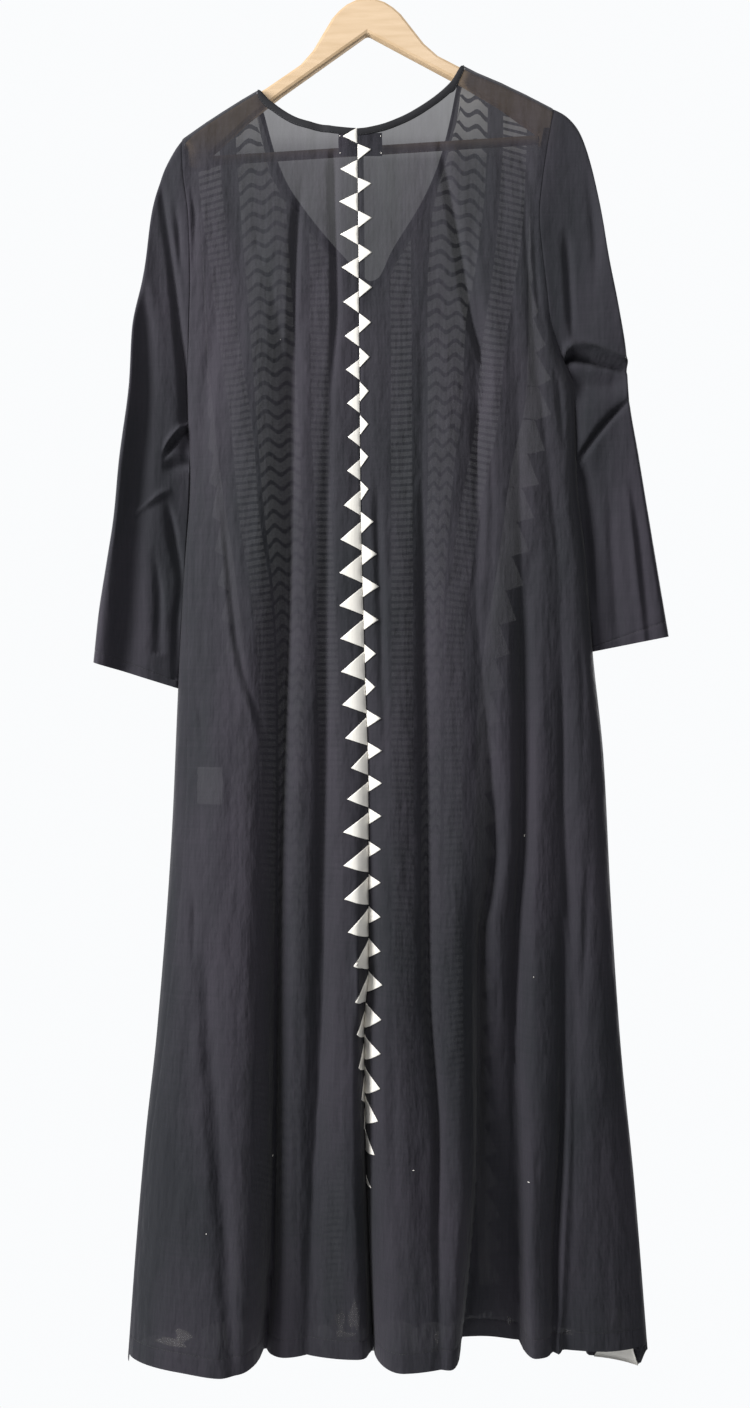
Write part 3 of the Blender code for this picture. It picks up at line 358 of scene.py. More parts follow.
# Creases that fall down the cloth: rows of (down, across, width, out). A groove is pressed in
# along its line, and a lap stands out on the line's left and goes in on its right.
BACK_CREASES = {
    "groove": (
        ((29, -6.3, 0.4, 0), (34, -7.2, 0.45, -0.7), (42, -7.6, 0.45, -0.95), (54, -7.8, 0.42, -0.95),
         (76, -8.1, 0.4, -0.7), (98, -9, 0.4, -0.6), (122, -9.6, 0.4, -0.7), (142, -9.9, 0.4, -0.7),
         (161, -10.8, 0.4, -0.6)),
        ((25, -3, 0.3, 0), (29, -3.1, 0.4, -0.7), (43, -2.8, 0.45, -0.7), (54, -3.4, 0.5, -0.25),
         (68, -3.9, 0.7, -0.4), (90, -4, 0.8, -0.5), (112, -4.6, 0.8, -0.4), (142, -5.2, 0.8, 0)),
        ((62, 6.9, 0.6, 0), (76, 7.3, 0.7, -0.5), (98, 7.3, 0.6, -0.5), (119, 7.4, 0.45, -0.7),
         (135, 8.5, 0.4, -0.9), (146, 8.3, 0.35, -0.5), (156, 8.6, 0.3, 0)),
        ((24, 8.8, 0.4, 0), (29, 9.6, 0.45, -0.6), (37, 11, 0.45, -0.85), (44, 12.2, 0.45, -0.85),
         (51, 13.9, 0.42, -0.8), (59, 13, 0.35, -0.6), (66, 13.4, 0.4, -0.4), (76, 13, 0.5, 0)),
        ((98, 14.8, 0.4, 0), (109, 14.5, 0.4, -0.6), (113, 13.5, 0.35, -0.8), (134, 13.2, 0.35, -0.9),
         (146, 12.4, 0.35, -0.8), (161, 11.1, 0.3, -0.6)),
        ((66, 19.3, 0.8, 0), (82, 18.5, 1, -0.6), (94, 18.6, 1, -0.7), (112, 17.8, 0.9, -0.5),
         (132, 17.8, 0.8, 0)),
        ((110, -17.6, 0.9, 0), (122, -16.8, 0.9, -0.5), (140, -15.2, 0.9, -0.6),
         (161, -13.6, 0.9, -0.5)),
        ((50, 21.9, 0.3, 0), (54, 22.3, 0.35, -0.35), (60, 22.7, 0.3, 0)),
        ((82, 22.4, 0.3, 0), (92, 22.6, 0.35, -0.3), (104, 22.4, 0.35, 0)),
        ((80, 24.6, 0.3, 0), (88, 24.8, 0.3, -0.25), (98, 24.6, 0.3, 0)),
        ((104, 25.4, 0.35, 0), (112, 25.1, 0.4, -0.35), (124, 24.6, 0.35, 0)),
        ((62, 1.7, 0.4, 0), (68, 1.9, 0.45, -0.4), (80, 2.3, 0.45, -0.45), (96, 2.7, 0.5, 0)),
        ((30, -19, 0.25, 0), (33, -18.6, 0.25, -0.3), (40, -18.8, 0.25, 0)),
        ((24, 17, 0.5, 0), (27, 18.2, 0.5, -0.35), (30, 19.3, 0.4, 0)),
        ((33, 19.4, 0.3, 0), (38, 19.5, 0.3, -0.3), (48, 20.6, 0.3, 0)),
        ((30, 18.3, 0.3, 0), (36, 18.5, 0.3, -0.25), (46, 19.4, 0.3, 0)),
        ((50, 14, 0.4, 0), (66, 14.6, 0.5, -0.25), (84, 14, 0.5, 0)),
        ((86, -18.4, 0.3, 0), (89, -17.9, 0.3, -0.25), (93, -17.6, 0.3, 0)),
        ((108, -18.6, 0.3, 0), (112, -18.5, 0.35, -0.3), (117, -18.5, 0.3, 0)),
        ((44, -16.6, 0.7, 0), (52, -17.2, 0.8, -0.35), (62, -18, 0.7, 0)),
        ((118, 3.4, 0.6, 0), (132, 3.6, 0.7, -0.3), (150, 4.2, 0.7, 0)),
    ),
    "lap": (
        ((110, 22.7, 0.5, 0), (116, 22.9, 0.5, -0.4), (134, 22.8, 0.5, -0.55), (150, 22.1, 0.5, -0.6),
         (161, 21.6, 0.5, -0.6)),
        ((64, -15.6, 0.5, 0), (72, -15, 0.4, 0.15), (83, -13.7, 0.5, 0.2), (90, -11.4, 0.5, 0.15),
         (96, -10.3, 0.4, 0)),
        ((112, -0.3, 0.35, 0), (120, 0, 0.35, 0.35), (134, 0.25, 0.3, 0.35), (144, 0.55, 0.3, 0.3),
         (161, 0.8, 0.3, 0.2)),
    ),
}
FRONT_CREASES = {
    "groove": (
        ((34, -14.6, 0.5, 0), (46, -13.6, 0.5, -0.4), (70, -12.4, 0.5, -0.4), (92, -12.2, 0.5, 0)),
        ((40, 7, 0.5, 0), (58, 6.8, 0.5, -0.4), (84, 6.9, 0.6, -0.45), (120, 7.2, 0.6, 0)),
        ((60, 18.2, 0.6, 0), (76, 18, 0.7, -0.5), (104, 18.4, 0.8, -0.5), (132, 19.4, 0.8, 0)),
        ((108, 12.9, 0.4, 0), (124, 13.1, 0.4, -0.5), (146, 13.3, 0.4, -0.6), (161, 13.6, 0.4, -0.5)),
        ((118, -17.8, 0.8, 0), (136, -18.4, 0.8, -0.5), (161, -19.3, 0.8, -0.5)),
        ((52, -18.9, 0.3, 0), (57, -18.2, 0.3, -0.3), (64, -17, 0.3, 0)),
        ((55, 21.6, 0.3, 0), (61, 20.6, 0.3, -0.3), (68, 19.4, 0.3, 0)),
    ),
    "lap": (
        ((96, -6.2, 0.5, 0), (116, -6.4, 0.5, 0.5), (140, -6.9, 0.5, 0.6), (161, -7.2, 0.5, 0.5)),
    ),
}
SLEEVE_CREASES = {
    "groove": (
        ((28, -22.6, 0.35, 0), (32, -22.1, 0.4, -0.35), (41, -20.9, 0.45, -0.6),
         (46, -20.4, 0.5, -0.75), (50, -20, 0.5, -0.8), (56, -19.8, 0.55, -0.8), (61, -19.8, 0.5, 0)),
        ((31, -20.8, 0.3, 0), (35, -20.4, 0.35, -0.4), (40, -20, 0.3, 0)),
        ((64, -21.9, 0.4, 0), (69, -21.2, 0.5, -0.7), (74, -20.4, 0.5, -0.4), (79, -20.9, 0.5, -0.5),
         (85, -20.9, 0.5, -0.3)),
        ((70, -23.2, 0.4, 0), (76, -22.8, 0.5, -0.4), (82, -22.9, 0.6, -0.3)),
        ((34, 22.9, 0.5, 0), (38, 23.2, 0.5, -0.5), (44, 23.6, 0.5, -0.5), (47, 23.9, 0.4, 0)),
        ((28, 25.3, 0.5, 0), (34, 26.1, 0.5, -0.3), (42, 26.6, 0.5, 0)),
        ((60, 24.7, 0.8, 0), (63, 25, 1, -1), (68, 25.4, 1, -1), (73, 25.8, 0.8, -0.5),
         (78, 26.1, 0.6, 0)),
        ((62, 27.9, 0.6, 0), (68, 28.2, 0.6, -0.35), (78, 28.9, 0.7, -0.3), (83, 29.2, 0.7, 0)),
    ),
    "lap": (
        ((40, -24.6, 0.6, 0), (46, -24.9, 1.1, 0.55), (54, -25.2, 1.4, 0.75), (62, -26, 1.6, 0.75),
         (70, -26.7, 1.7, 0.7), (78, -27.3, 1.8, 0.7), (85, -28, 1.8, 0.6)),
        ((62, 30, 0.5, 0), (70, 30.9, 0.6, 0.3), (82, 32.3, 0.6, 0.15)),
    ),
}
# Creases that cross the sleeves: rows of (across, down, width, out). A lap stands out
# above its line and goes in under it, and a groove with a positive out is a ridge.
CROSSING_CREASES = {
    "groove": (
        ((22.8, 51.4, 1.2, 0), (25, 51.8, 1.5, -0.9), (28, 51.8, 1.3, -0.8), (30, 51.6, 1, 0)),
        ((23.8, 61.2, 0.6, 0), (25.2, 59.2, 0.6, -0.8), (26.5, 57.4, 0.6, -0.9), (28, 55.6, 0.5, -0.9),
         (29.6, 54.2, 0.4, -0.4), (30.4, 53.6, 0.4, 0)),
        ((-25.9, 66.5, 0.22, 0), (-24.5, 65.5, 0.28, 0.4), (-23, 64.5, 0.3, 0.5), (-22.2, 64, 0.3, 0.4),
         (-21.2, 63.5, 0.25, 0)),
        ((-22.4, 61, 0.5, 0), (-21.2, 60.8, 0.7, -0.6), (-19.4, 60.5, 0.7, -0.5)),
    ),
    "lap": (
        ((21.8, 49.8, 0.6, 0), (22.6, 49.1, 0.65, 0.8), (23.9, 48.2, 0.7, 1.05),
         (25.3, 48.4, 0.7, 1.05), (27, 49, 0.65, 0.95), (29.2, 49.7, 0.55, 0.8), (30.6, 50.2, 0.5, 0)),
        ((-22.4, 59.7, 0.5, 0), (-21.5, 58.5, 0.6, 0.65), (-20.5, 57.3, 0.6, 0.7),
         (-19.4, 56.3, 0.5, 0.4)),
    ),
}

# The labels: across, down, how crumpled they are, and how far they lie over the back
NECK_LABEL = ((-2.5, 2.4), (23.6, 26.2), 0.03, -0.3)
CARE_LABEL = ((-18.2, -15.3), (94.7, 98.8), 0.12, -0.12)
# Small things on the back: rows of (across, down, half width, half height)
FLECK_RISE = 0.06
MARK_RISE = 0.02
LABEL_KNOTS = (
    (-2.35, 24.1, 0.07, 0.05), (2.25, 24.1, 0.06, 0.07), (2.3, 26, 0.07, 0.06), (-2.3, 26, 0.05, 0.06),
)
# Small pale specks on the back
PALE_FLECKS = (
    (18.4, 102.5, 0.04, 0.12), (19.2, 118, 0.04, 0.08), (5.8, 138.5, 0.12, 0.04),
    (18.6, 140.6, 0.11, 0.05), (-9.9, 138.4, 0.04, 0.09), (-16.7, 145.2, 0.05, 0.06),
    (-9, 46.8, 0.04, 0.04),
)
PALE_MARKS = (
    (-20.6, 157, 1.7, 0.45), (-19.2, 156.1, 0.9, 0.7), (-2.2, 155.6, 0.5, 1.2), (-0.7, 155, 0.6, 1.5),
    (-1.8, 157, 1.1, 0.35), (8.3, 156.2, 0.25, 0.7), (23, 157.6, 0.6, 0.3), (16.8, 157.4, 0.35, 0.5),
)
# The cream piece at the front's hem: rows of (down, left, right)
PATCH_OVER = -0.25
PATCH_THICK = 0.1
HEM_PATCH = ((157.5, 28.4, 30.6), (161.2, 28, 31.2), (163.3, 27, 31.8))

# The cut of the cloth, in metres: (width, length), and its area
BACK_LEFT_CUT = ((0.36, 1.44), 0.40)
BACK_RIGHT_CUT = ((0.42, 1.44), 0.46)
FRONT_CUT = ((0.66, 1.46), 0.62)
SLEEVE_CUT = ((0.34, 0.62), 0.125)

# Where a column's top is looked for, the step that measures a slope, and the least face
MIDDLE_TOP = 20.0
SETTLING_STEPS = 10
NEARBY = 0.15
STEEPEST_TOP = 4.0
SMALLEST_FACE = 1e-5

# How fine the cloth is: distances from its edges, and counts of rows and columns
PANEL_ROWS = 160
LEFT_COLUMNS = 92
RIGHT_COLUMNS = 112
HEM_COLUMNS = 200
HEM_ROWS = 5
ALLOWANCE_ROWS = 150
BINDING_COLUMNS = 120
LABEL_COLUMNS = 17
LABEL_ROWS = 15
EDGE_STEPS = (0.0, 0.05, 0.12, 0.22, 0.35, 0.5)
NEAR_TOP = (0.0, 0.06, 0.18, 0.36, 0.6, 0.85, 1.1)
NEAR_HEM = (2.5, 2.25, 2.1, 2.0, 1.9, 1.75, 1.3, 0.7, 0.3, 0.12, 0.0)
NEAR_ARMHOLE = (0.0, 0.02, 0.06, 0.15, 0.3, 0.5, 0.75, 1.0)
FIRST_BAND_ROW = len(NEAR_TOP) - 1
GAP_STEPS = 7
MIDDLE_STEPS = 16
SIDE_STEPS = 19
STROKE_ROW = 0.9
THINNEST_STROKE = 0.01
# The same for the sleeves, as shares of their length
SLEEVE_RINGS = 150
RING_POINTS = 62
SLEEVE_START = (0.0, 0.002, 0.005, 0.01)
NEAR_CUFF = (-0.004, -0.002, 0.0, 0.002, 0.004, 0.01)
SLEEVE_STOP = (0.992, 0.998, 1.0)
CUFF_ROWS = len(NEAR_CUFF) + len(SLEEVE_STOP) - 2

# Sewing: what is turned in and how far under it lies, and the dips over the seams
HEM_DEEP = 2.0
CUFF_DEEP = 1.5
SEAM_ALLOWANCE = 0.68
CUT_EDGE = 0.02
HEM_UNDER = -0.08
ALLOWANCE_UNDER = -0.06
INNER_CUFF = (0.985, 0.93, 1.0)
SEAM_DIP = 0.07
SEAM_DIP_WIDTH = 0.13
DIPPED_OUT = 0.4
# The dips at a sleeve's ends, as shares of the sleeve, and how much deeper the armhole's is
CUFF_DIP_LENGTH = 0.002
ARMHOLE_DIP_LENGTH = 0.003
ARMHOLE_DIP = 1.4

# What is sewn on
STEEPEST_BINDING = 2.2
BINDING_DEEP = 0.78
BINDING_END = 11.58
STITCH = 0.24
STITCH_STEP = 0.32
THREAD = 0.035
THREAD_SIDES = 5
COMB_GAP = 0.02
COMB_JOIN = 0.04
COMB_COLUMNS = 8
COMB_OVER = 0.06
COMB_THICK = 0.04
LABEL_THICK = 0.05

# Creases: how far out the cloth has to be for a whole one, and how far down the sleeve,
# how strong a lap is, and the share of its depth that a fold keeps under a groove
CREASED_OUT = 0.8
CREASED_SLEEVE = 0.05
LAP_STRENGTH = 2.3
LEAST_OUT = 0.4
LEAST_SLEEVE_OUT = 0.25

# The bands' strokes: how they lean at the top, the waves, and the saw's two slopes
STROKES_END = 162.0
TOP_LEAN = 0.25
LEAN_END = 46.0
LEAN_DEEP = 20.0
SLOPE_SPAN = 2.0
WAVE_RISE = 0.72
WAVE_PEAKS = 2
SAW_BACK = 0.45
SAW_LOWER = 0.2


def through(rows, column=1):
    """A smooth curve, without overshoot, through one column of a table."""
    xs = np.array([row[0] for row in rows], float)
    ys = np.array([row[column] for row in rows], float)
    steps = np.diff(xs)
    slopes = np.diff(ys) / steps
    same = slopes[:-1] * slopes[1:] > 0
    total = np.where(same, slopes[:-1] + slopes[1:], 1.0)
    inner = np.where(same, 2 * slopes[:-1] * slopes[1:] / total, 0.0)
    tangents = np.concatenate((slopes[:1], inner, slopes[-1:]))

    def at(x):
        x = np.clip(np.asarray(x, float), xs[0], xs[-1])
        i = np.clip(np.searchsorted(xs, x, side="right") - 1, 0, len(steps) - 1)
        step = steps[i]
        s = (x - xs[i]) / step
        value = ys[i] * (1 + 2 * s) * (1 - s) ** 2 + ys[i + 1] * s * s * (3 - 2 * s)
        value += step * s * (1 - s) * (tangents[i] * (1 - s) - tangents[i + 1] * s)
        return value

    return at


def curves(rows):
    """A curve through each column of a table after its first."""
    return [through(rows, i) for i in range(1, len(rows[0]))]


def rounded(distance, radius):
    """0 at an edge, rising as a quarter circle to 1 at the radius."""
    short = 1 - np.clip(distance / radius, 0, 1)
    return np.sqrt(1 - short * short)


def unit(vectors):
    return vectors / np.maximum(np.linalg.norm(vectors, axis=-1, keepdims=True), 1e-9)


def shoulder_line():
    """The highest line of the tilted wood, and on past its ends, as (across, down)."""
    half = WOOD_TOP + (SHOULDER_END,)
    both = [(-x, d) for x, d in reversed(half)] + list(half[1:])
    c, s = math.cos(TILT), math.sin(TILT)
    return [(x * c + d * s, d * c - x * s) for x, d in both]


RIDGE = np.array(shoulder_line())


def ridge(across):
    return np.interp(across, RIDGE[:, 0], RIDGE[:, 1]) - ABOVE_WOOD


def neckline(rows):
    """The top edge of a layer: its neck between the neck points, and the shoulders."""
    neck = through(rows)

    def top(across):
        inside = (across > NECK_LEFT) & (across < NECK_RIGHT)
        return np.where(inside, np.maximum(neck(across), ridge(across)), ridge(across))

    return top


left_edge = through(LEFT_EDGE)
right_edge = through(RIGHT_EDGE)
wrap = through(WRAP)


def armhole_out(edge, down):
    """How far the armhole's edge stands from the middle plane."""
    top = ridge(edge(down))
    s = np.clip((down - top) / (UNDERARM - top), 0, 1)
    return (ARMHOLE_TOP_OUT + ARMHOLE_MID_OUT * np.sin(math.pi * s)) * np.sqrt(1 - s**4)


def push_of(creases, along, aside):
    """How far some creases move the cloth out, at places along and aside of them."""
    total = np.zeros(np.broadcast(along, aside).shape)
    for kind, lines in creases.items():
        for rows in lines:
            middle, width, height = curves(rows)
            off = (aside - middle(along)) / width(along)
            shape = np.exp(-off * off)
            if kind == "lap":
                shape = -LAP_STRENGTH * off * shape
            within = (along >= rows[0][0]) & (along <= rows[-1][0])
            total += np.where(within, height(along) * shape, 0)
    return total


class Cloth:
    """The body's back (sign -1) or front (sign +1) as one folded surface, with its creases
    and the dips along its seams and its hem's stitches."""

    def __init__(self, sign, folds, crests, peaks, creases, hem, seams):
        self.sign = sign
        self.lines = [left_edge] + [through(rows, 1) for rows in folds] + [right_edge]
        self.valleys = [through(rows, 2) for rows in folds]
        self.crests = curves(crests)
        self.peaks = curves(peaks)
        self.creases = creases
        self.hem = through(hem)
        self.seams = seams

    def valley(self, i, down):
        if 0 < i < len(self.lines) - 1:
            return self.valleys[i - 1](down)
        return np.hypot(armhole_out(self.lines[i], down), EDGE_ROUND)

    def folded(self, across, down):
        """How far out the folds stand, without creases."""
        total = np.zeros(np.broadcast(across, down).shape)
        for i, crest in enumerate(self.crests):
            a, b = self.lines[i](down), self.lines[i + 1](down)
            q = (across - a) / (b - a)
            inside = ((q >= 0) | (i == 0)) & ((q <= 1) | (i == len(self.crests) - 1))
            q = np.clip(q, 0, 1)
            peak = self.peaks[i](down)
            rising = q < peak
            s = np.where(rising, q / peak, (1 - q) / (1 - peak))
            low = np.where(rising, self.valley(i, down), self.valley(i + 1, down))
            high = crest(down)
            sharp = np.clip((high - low) / SHARP_FOLD_DEPTH, 0, 1)
            power = FOLD_POWER - SHARP_FOLD_DROP * sharp
            bulge = low + (high - low) * np.sin(math.pi / 2 * s) ** power
            total = np.where(inside, bulge, total)
        for edge, side in ((left_edge, 1), (right_edge, -1)):
            rim = armhole_out(edge, down)
            turn = rounded(side * (across - edge(down)), EDGE_ROUND)
            total = np.sqrt(rim**2 + np.maximum(total**2 - rim**2, 0) * turn**2)
        return total * rounded(down - ridge(across), SHOULDER_ROUND)

    def out(self, across, down):
        total = self.folded(across, down)
        pushed = total + push_of(self.creases, down, across) * np.clip(total / CREASED_OUT, 0, 1)
        offs = [across - seam(down) for seam in self.seams]
        offs.append(down - self.hem(across) + HEM_DEEP)
        for off in offs:
            pushed = pushed - SEAM_DIP * np.exp(-((off / SEAM_DIP_WIDTH) ** 2))
        return np.maximum(pushed, LEAST_OUT * total)

    def point(self, across, down):
        """Points of the outer surface, in centimetres."""
        across, down = np.broadcast_arrays(np.asarray(across, float), np.asarray(down, float))
        return np.stack([across, self.sign * self.out(across, down), -down], axis=-1)

    def normal(self, across, down):
        """The direction out of the garment."""
        along = self.point(across + NEARBY, down) - self.point(across - NEARBY, down)
        fall = self.point(across, down + NEARBY) - self.point(across, down - NEARBY)
        return unit(self.sign * np.cross(along, fall))

    def above(self, across, down, height):
        """Points of the outer surface, moved out by a height."""
        return self.point(across, down) + self.normal(across, down) * np.asarray(height)[..., None]


def side_seam(down):
    return left_edge(down) + wrap(down)


SEAM_LINE = through(BACK_FOLDS[MIDDLE_FOLD])
BACK = Cloth(-1, BACK_FOLDS, BACK_CRESTS, BACK_PEAKS, BACK_CREASES, BACK_HEM,
             (SEAM_LINE, side_seam))
FRONT = Cloth(1, FRONT_FOLDS, FRONT_CRESTS, FRONT_PEAKS, FRONT_CREASES, FRONT_HEM, ())


def mixed(first, second, share):
    """A column at a share of the way between two others."""
    return lambda down: first(down) * (1 - share) + second(down) * share


def beside(line, distance):
    return lambda down: line(down) + distance


def top_of(column, top):
    """Where a column meets the top edge: its depth, and the edge's steepness there."""
    start = MIDDLE_TOP
    for _ in range(SETTLING_STEPS):
        start = float(top(column(start)))
    across = column(start)
    slope = float(top(across + NEARBY) - top(across - NEARBY)) / (2 * NEARBY)
    return start, min(math.hypot(1, slope), STEEPEST_TOP)


# Meshes

def placed(name, data):
    """A new object in the scene."""
    item = bpy.data.objects.new(name, data)
    bpy.context.collection.objects.link(item)
    return item


class Pile:
    """Many grids of points that become one mesh."""

    def __init__(self):
        self.points, self.faces, self.count = [], [], 0

    def add(self, grid, skip=()):
        """A grid of points, without the faces of some spans: (rows, columns)."""
        rows, cols = grid.shape[:2]
        one = np.cross(grid[1:, 1:] - grid[:-1, :-1], grid[1:, :-1] - grid[:-1, 1:])
        kept = np.linalg.norm(one, axis=-1) > SMALLEST_FACE
        for row_span, column_span in skip:
            kept[row_span, column_span] = False
        for i, j in np.argwhere(kept):
            a = self.count + int(i) * cols + int(j)
            self.faces.append((a, a + 1, a + 1 + cols, a + cols))
        self.points.append(grid.reshape(-1, 3))
        self.count += rows * cols

    def add_flat(self, layer, across, down, over, thick):
        """A thin closed piece on a layer, over a grid of places on it."""
        rows, cols = across.shape
        start, half = self.count, rows * cols
        spots = np.arange(half).reshape(rows, cols)
        self.add(layer.above(across, down, over + thick))
        self.add(layer.above(across, down, over))
        rim = [*spots[0], *spots[1:, -1], *spots[-1, -2::-1], *spots[-2:0:-1, 0]]
        for a, b in zip(rim, rim[1:] + rim[:1]):
            face = (a, half + a, half + b, b)
            self.faces.append(tuple(start + int(i) for i in face))

    def add_stitches(self, points, normals):
        """Threads laid along a line of points."""
        run = np.concatenate(([0], np.cumsum(np.linalg.norm(np.diff(points, axis=0), axis=1))))
        starts = np.arange(STITCH_STEP / 2, run[-1] - STITCH, STITCH_STEP)

        def at(values, where):
            return np.stack([np.interp(where, run, values[:, i]) for i in range(3)], axis=-1)

        thick = THREAD * np.array((0.15, 0.8, 1.0, 0.8, 0.15))
        for start in starts:
            where = start + STITCH * np.array((0.0, 0.15, 0.5, 0.85, 1.0))
            middle, up = at(points, where), at(normals, where)
            side = unit(np.cross(up, np.gradient(middle, axis=0)))
            rim = [middle + thick[:, None] * (math.cos(turn) * side + math.sin(turn) * up)
                   for turn in np.linspace(0, 2 * math.pi, THREAD_SIDES + 1)]
            self.add(np.stack(rim, axis=1))

    def make(self, name):
        """The mesh object, in metres."""
        mesh = bpy.data.meshes.new(name)
        points = np.concatenate(self.points) * CM
        used = sorted({i for face in self.faces for i in face})
        number = {old: new for new, old in enumerate(used)}
        faces = [tuple(number[i] for i in face) for face in self.faces]
        mesh.from_pydata([tuple(points[i]) for i in used], [], faces)
        mesh.shade_smooth()
        return placed(name, mesh)


def cloth_grid(name, grid):
    """A single layer of cloth over a grid."""
    pile = Pile()
    pile.add(grid)
    return pile.make(name)


# The cloth

def panel_depths(columns, top, hem):
    """The depth of each point of a panel, from its top edge to its hem."""
    lines = []
    for column in columns:
        start, steep = top_of(column, top)
        end = float(hem(column(BODY_END)))
        high = start + steep * np.array(NEAR_TOP)
        low = end - np.array(NEAR_HEM)
        middle = np.linspace(high[-1], low[0], PANEL_ROWS)[1:-1]
        lines.append(np.concatenate([high, middle, low]))
    return np.stack(lines, axis=1)


def places(columns, depths):
    return np.stack([column(depths[:, j]) for j, column in enumerate(columns)], axis=1)


def after(first, last, steps):
    """Columns after one and up to another."""
    return [mixed(first, last, q) for q in np.linspace(0, 1, steps + 1)[1:]]


def spread_columns(first, last, count):
    """Columns from one to another, closer together beside each."""
    begin = [beside(first, d) for d in EDGE_STEPS[:-1]]
    end = [beside(last, -d) for d in EDGE_STEPS[-2::-1]]
    a, b = beside(first, EDGE_STEPS[-1]), beside(last, -EDGE_STEPS[-1])
    return begin + [mixed(a, b, q) for q in np.linspace(0, 1, count)] + end


def make_back(name, columns):
    """One of the back's halves."""
    depths = panel_depths(columns, neckline(BACK_NECK), through(BACK_HEM))
    return cloth_grid(name, BACK.point(places(columns, depths), depths))


def turned(start, share):
    """Distance from the left side, less than 0 on the back, of a column near the seam."""
    def at(down):
        come = np.clip(wrap(down) / WHOLE_WRAP, 0, 1)
        return start * (1 - come) - share * wrap(down)
    return at


def band_edge(rows, sign, half):
    """The column at one edge of a band."""
    middle, width = curves(rows)
    return lambda down: sign * (middle(down) + half * width(down))


def front_columns():
    """The front's columns from the left to the right, and the bands' (name, first, last)."""
    last = turned(TURN_START, 0.0)
    columns = [beside(lambda down: left_edge(down) + last(down), d) for d in EDGE_STEPS]
    bands = []
    edge = columns[-1]
    for side, sign, tables in (("left", -1, LEFT_BANDS), ("right", 1, RIGHT_BANDS)):
        for band, rows in tables.items():
            first, second = band_edge(rows, sign, -0.5 * sign), band_edge(rows, sign, 0.5 * sign)
            gap = MIDDLE_STEPS if (side, band) == ("right", "inner") else GAP_STEPS
            columns += after(edge, first, gap)
            start = len(columns) - 1
            columns += after(first, second, BAND_COLUMNS[band])
            bands.append((f"{band}_{side}", band, sign, start, len(columns) - 1))
            edge = second
    columns += after(edge, beside(right_edge, -EDGE_STEPS[-1]), SIDE_STEPS)
    columns += [beside(right_edge, -d) for d in EDGE_STEPS[-2::-1]]
    return columns, bands


def stroke_lines(band, shares):
    """The upper and lower line of each cream stroke, from top to bottom."""
    first, step, cream = BAND_STROKES[band]
    shape = np.zeros(len(shares))
    if band == "wave":
        turn = np.mod(shares * WAVE_PEAKS, 1) * 2 - 1
        shape = WAVE_RISE * (0.5 + 0.5 * np.sin(math.pi * (np.abs(turn) - 0.5)))
    for start in np.arange(first, STROKES_END, step):
        if band == "saw":
            tooth = np.clip((shares - SAW_BACK) / (1 - SAW_BACK), 0, 1)
            yield start + cream * step * tooth, start + step * (1 - SAW_LOWER * tooth)
        else:
            yield start + shape, start + cream * step + shape


def fill_band(dark, cream, columns, starts, ends, band, sign):
    """A band of the front: its cream strokes, and the black cloth between them."""
    shares = np.linspace(0, 1, len(columns))
    if sign < 0 and band == "saw":
        shares = shares[::-1]
    middle = columns[len(columns) // 2]

    def tilt_at(down):
        slope = float(middle(down + SLOPE_SPAN) - middle(down - SLOPE_SPAN)) / (2 * SLOPE_SPAN)
        here = np.array([float(column(down)) for column in columns])
        lean = sign * TOP_LEAN * np.clip((LEAN_END - down) / LEAN_DEEP, 0, 1)
        return (lean - slope) * (here - float(middle(down)))

    def add(pile, upper, lower):
        upper, lower = np.clip(upper, starts, ends), np.clip(lower, starts, ends)
        tall = float(np.max(lower - upper))
        if tall > THINNEST_STROKE:
            lines = np.linspace(upper, lower, int(tall / STROKE_ROW) + 2)
            pile.add(FRONT.point(places(columns, lines), lines))

    before = starts
    for upper, lower in stroke_lines(band, shares):
        tilt = tilt_at(float(upper.mean()))
        add(dark, before, upper + tilt)
        add(cream, np.maximum(upper + tilt, before), lower + tilt)
        before = np.maximum(lower + tilt, starts)
    add(dark, before, ends)


def make_front():
    """The front, and its cream strokes by band.

    The front runs from its seam on the back round the left side to the right seam.
    """
    columns, bands = front_columns()
    turns = [turned(TURN_START * (1 - share), share) for share in TURN_SHARES]
    turning = [lambda down, t=t: left_edge(down) + np.abs(t(down)) for t in turns]
    every = turning + columns
    depths = panel_depths(every, neckline(FRONT_NECK), through(FRONT_HEM))
    grid = FRONT.point(places(every, depths), depths)
    for j, turn in enumerate(turns):
        behind = turn(depths[:, j]) < 0
        grid[behind, j] = BACK.point(grid[behind, j, 0], depths[behind, j])
    last_row = -len(NEAR_HEM)
    skip, strokes = [], []
    dark = Pile()
    for name, band, sign, first, last in bands:
        a, b = first + len(turns), last + len(turns)
        skip.append((slice(FIRST_BAND_ROW, last_row), slice(a, b)))
        cream = Pile()
        fill_band(dark, cream, columns[first: last + 1], depths[FIRST_BAND_ROW, a: b + 1],
                  depths[last_row, a: b + 1], band, sign)
        strokes.append((cream.make(f"{name}_strokes"), name))
    dark.add(grid, skip)
    return dark.make("front_cloth"), strokes


def sleeve_sides(flat, deep, lean, reach, dips):
    """The nearer and the farther side of a ring of a sleeve, with creases and dips."""
    for sign, strength, shift in ((-1, 1.0, 0.0), (1, HIDDEN_SIDE, HIDDEN_SHIFT)):
        x, d = flat[:, 0] + shift, flat[:, 1] + shift
        push = push_of(SLEEVE_CREASES, d, x) + push_of(CROSSING_CREASES, x, d)
        push = push * strength * reach * np.clip(deep / CREASED_OUT, 0, 1)
        push = push - SEAM_DIP * dips * np.clip(deep / DIPPED_OUT, 0, 1)
        here = np.maximum(deep + push, deep * LEAST_SLEEVE_OUT)
        yield np.stack([flat[:, 0], lean + sign * here, -flat[:, 1]], axis=1)


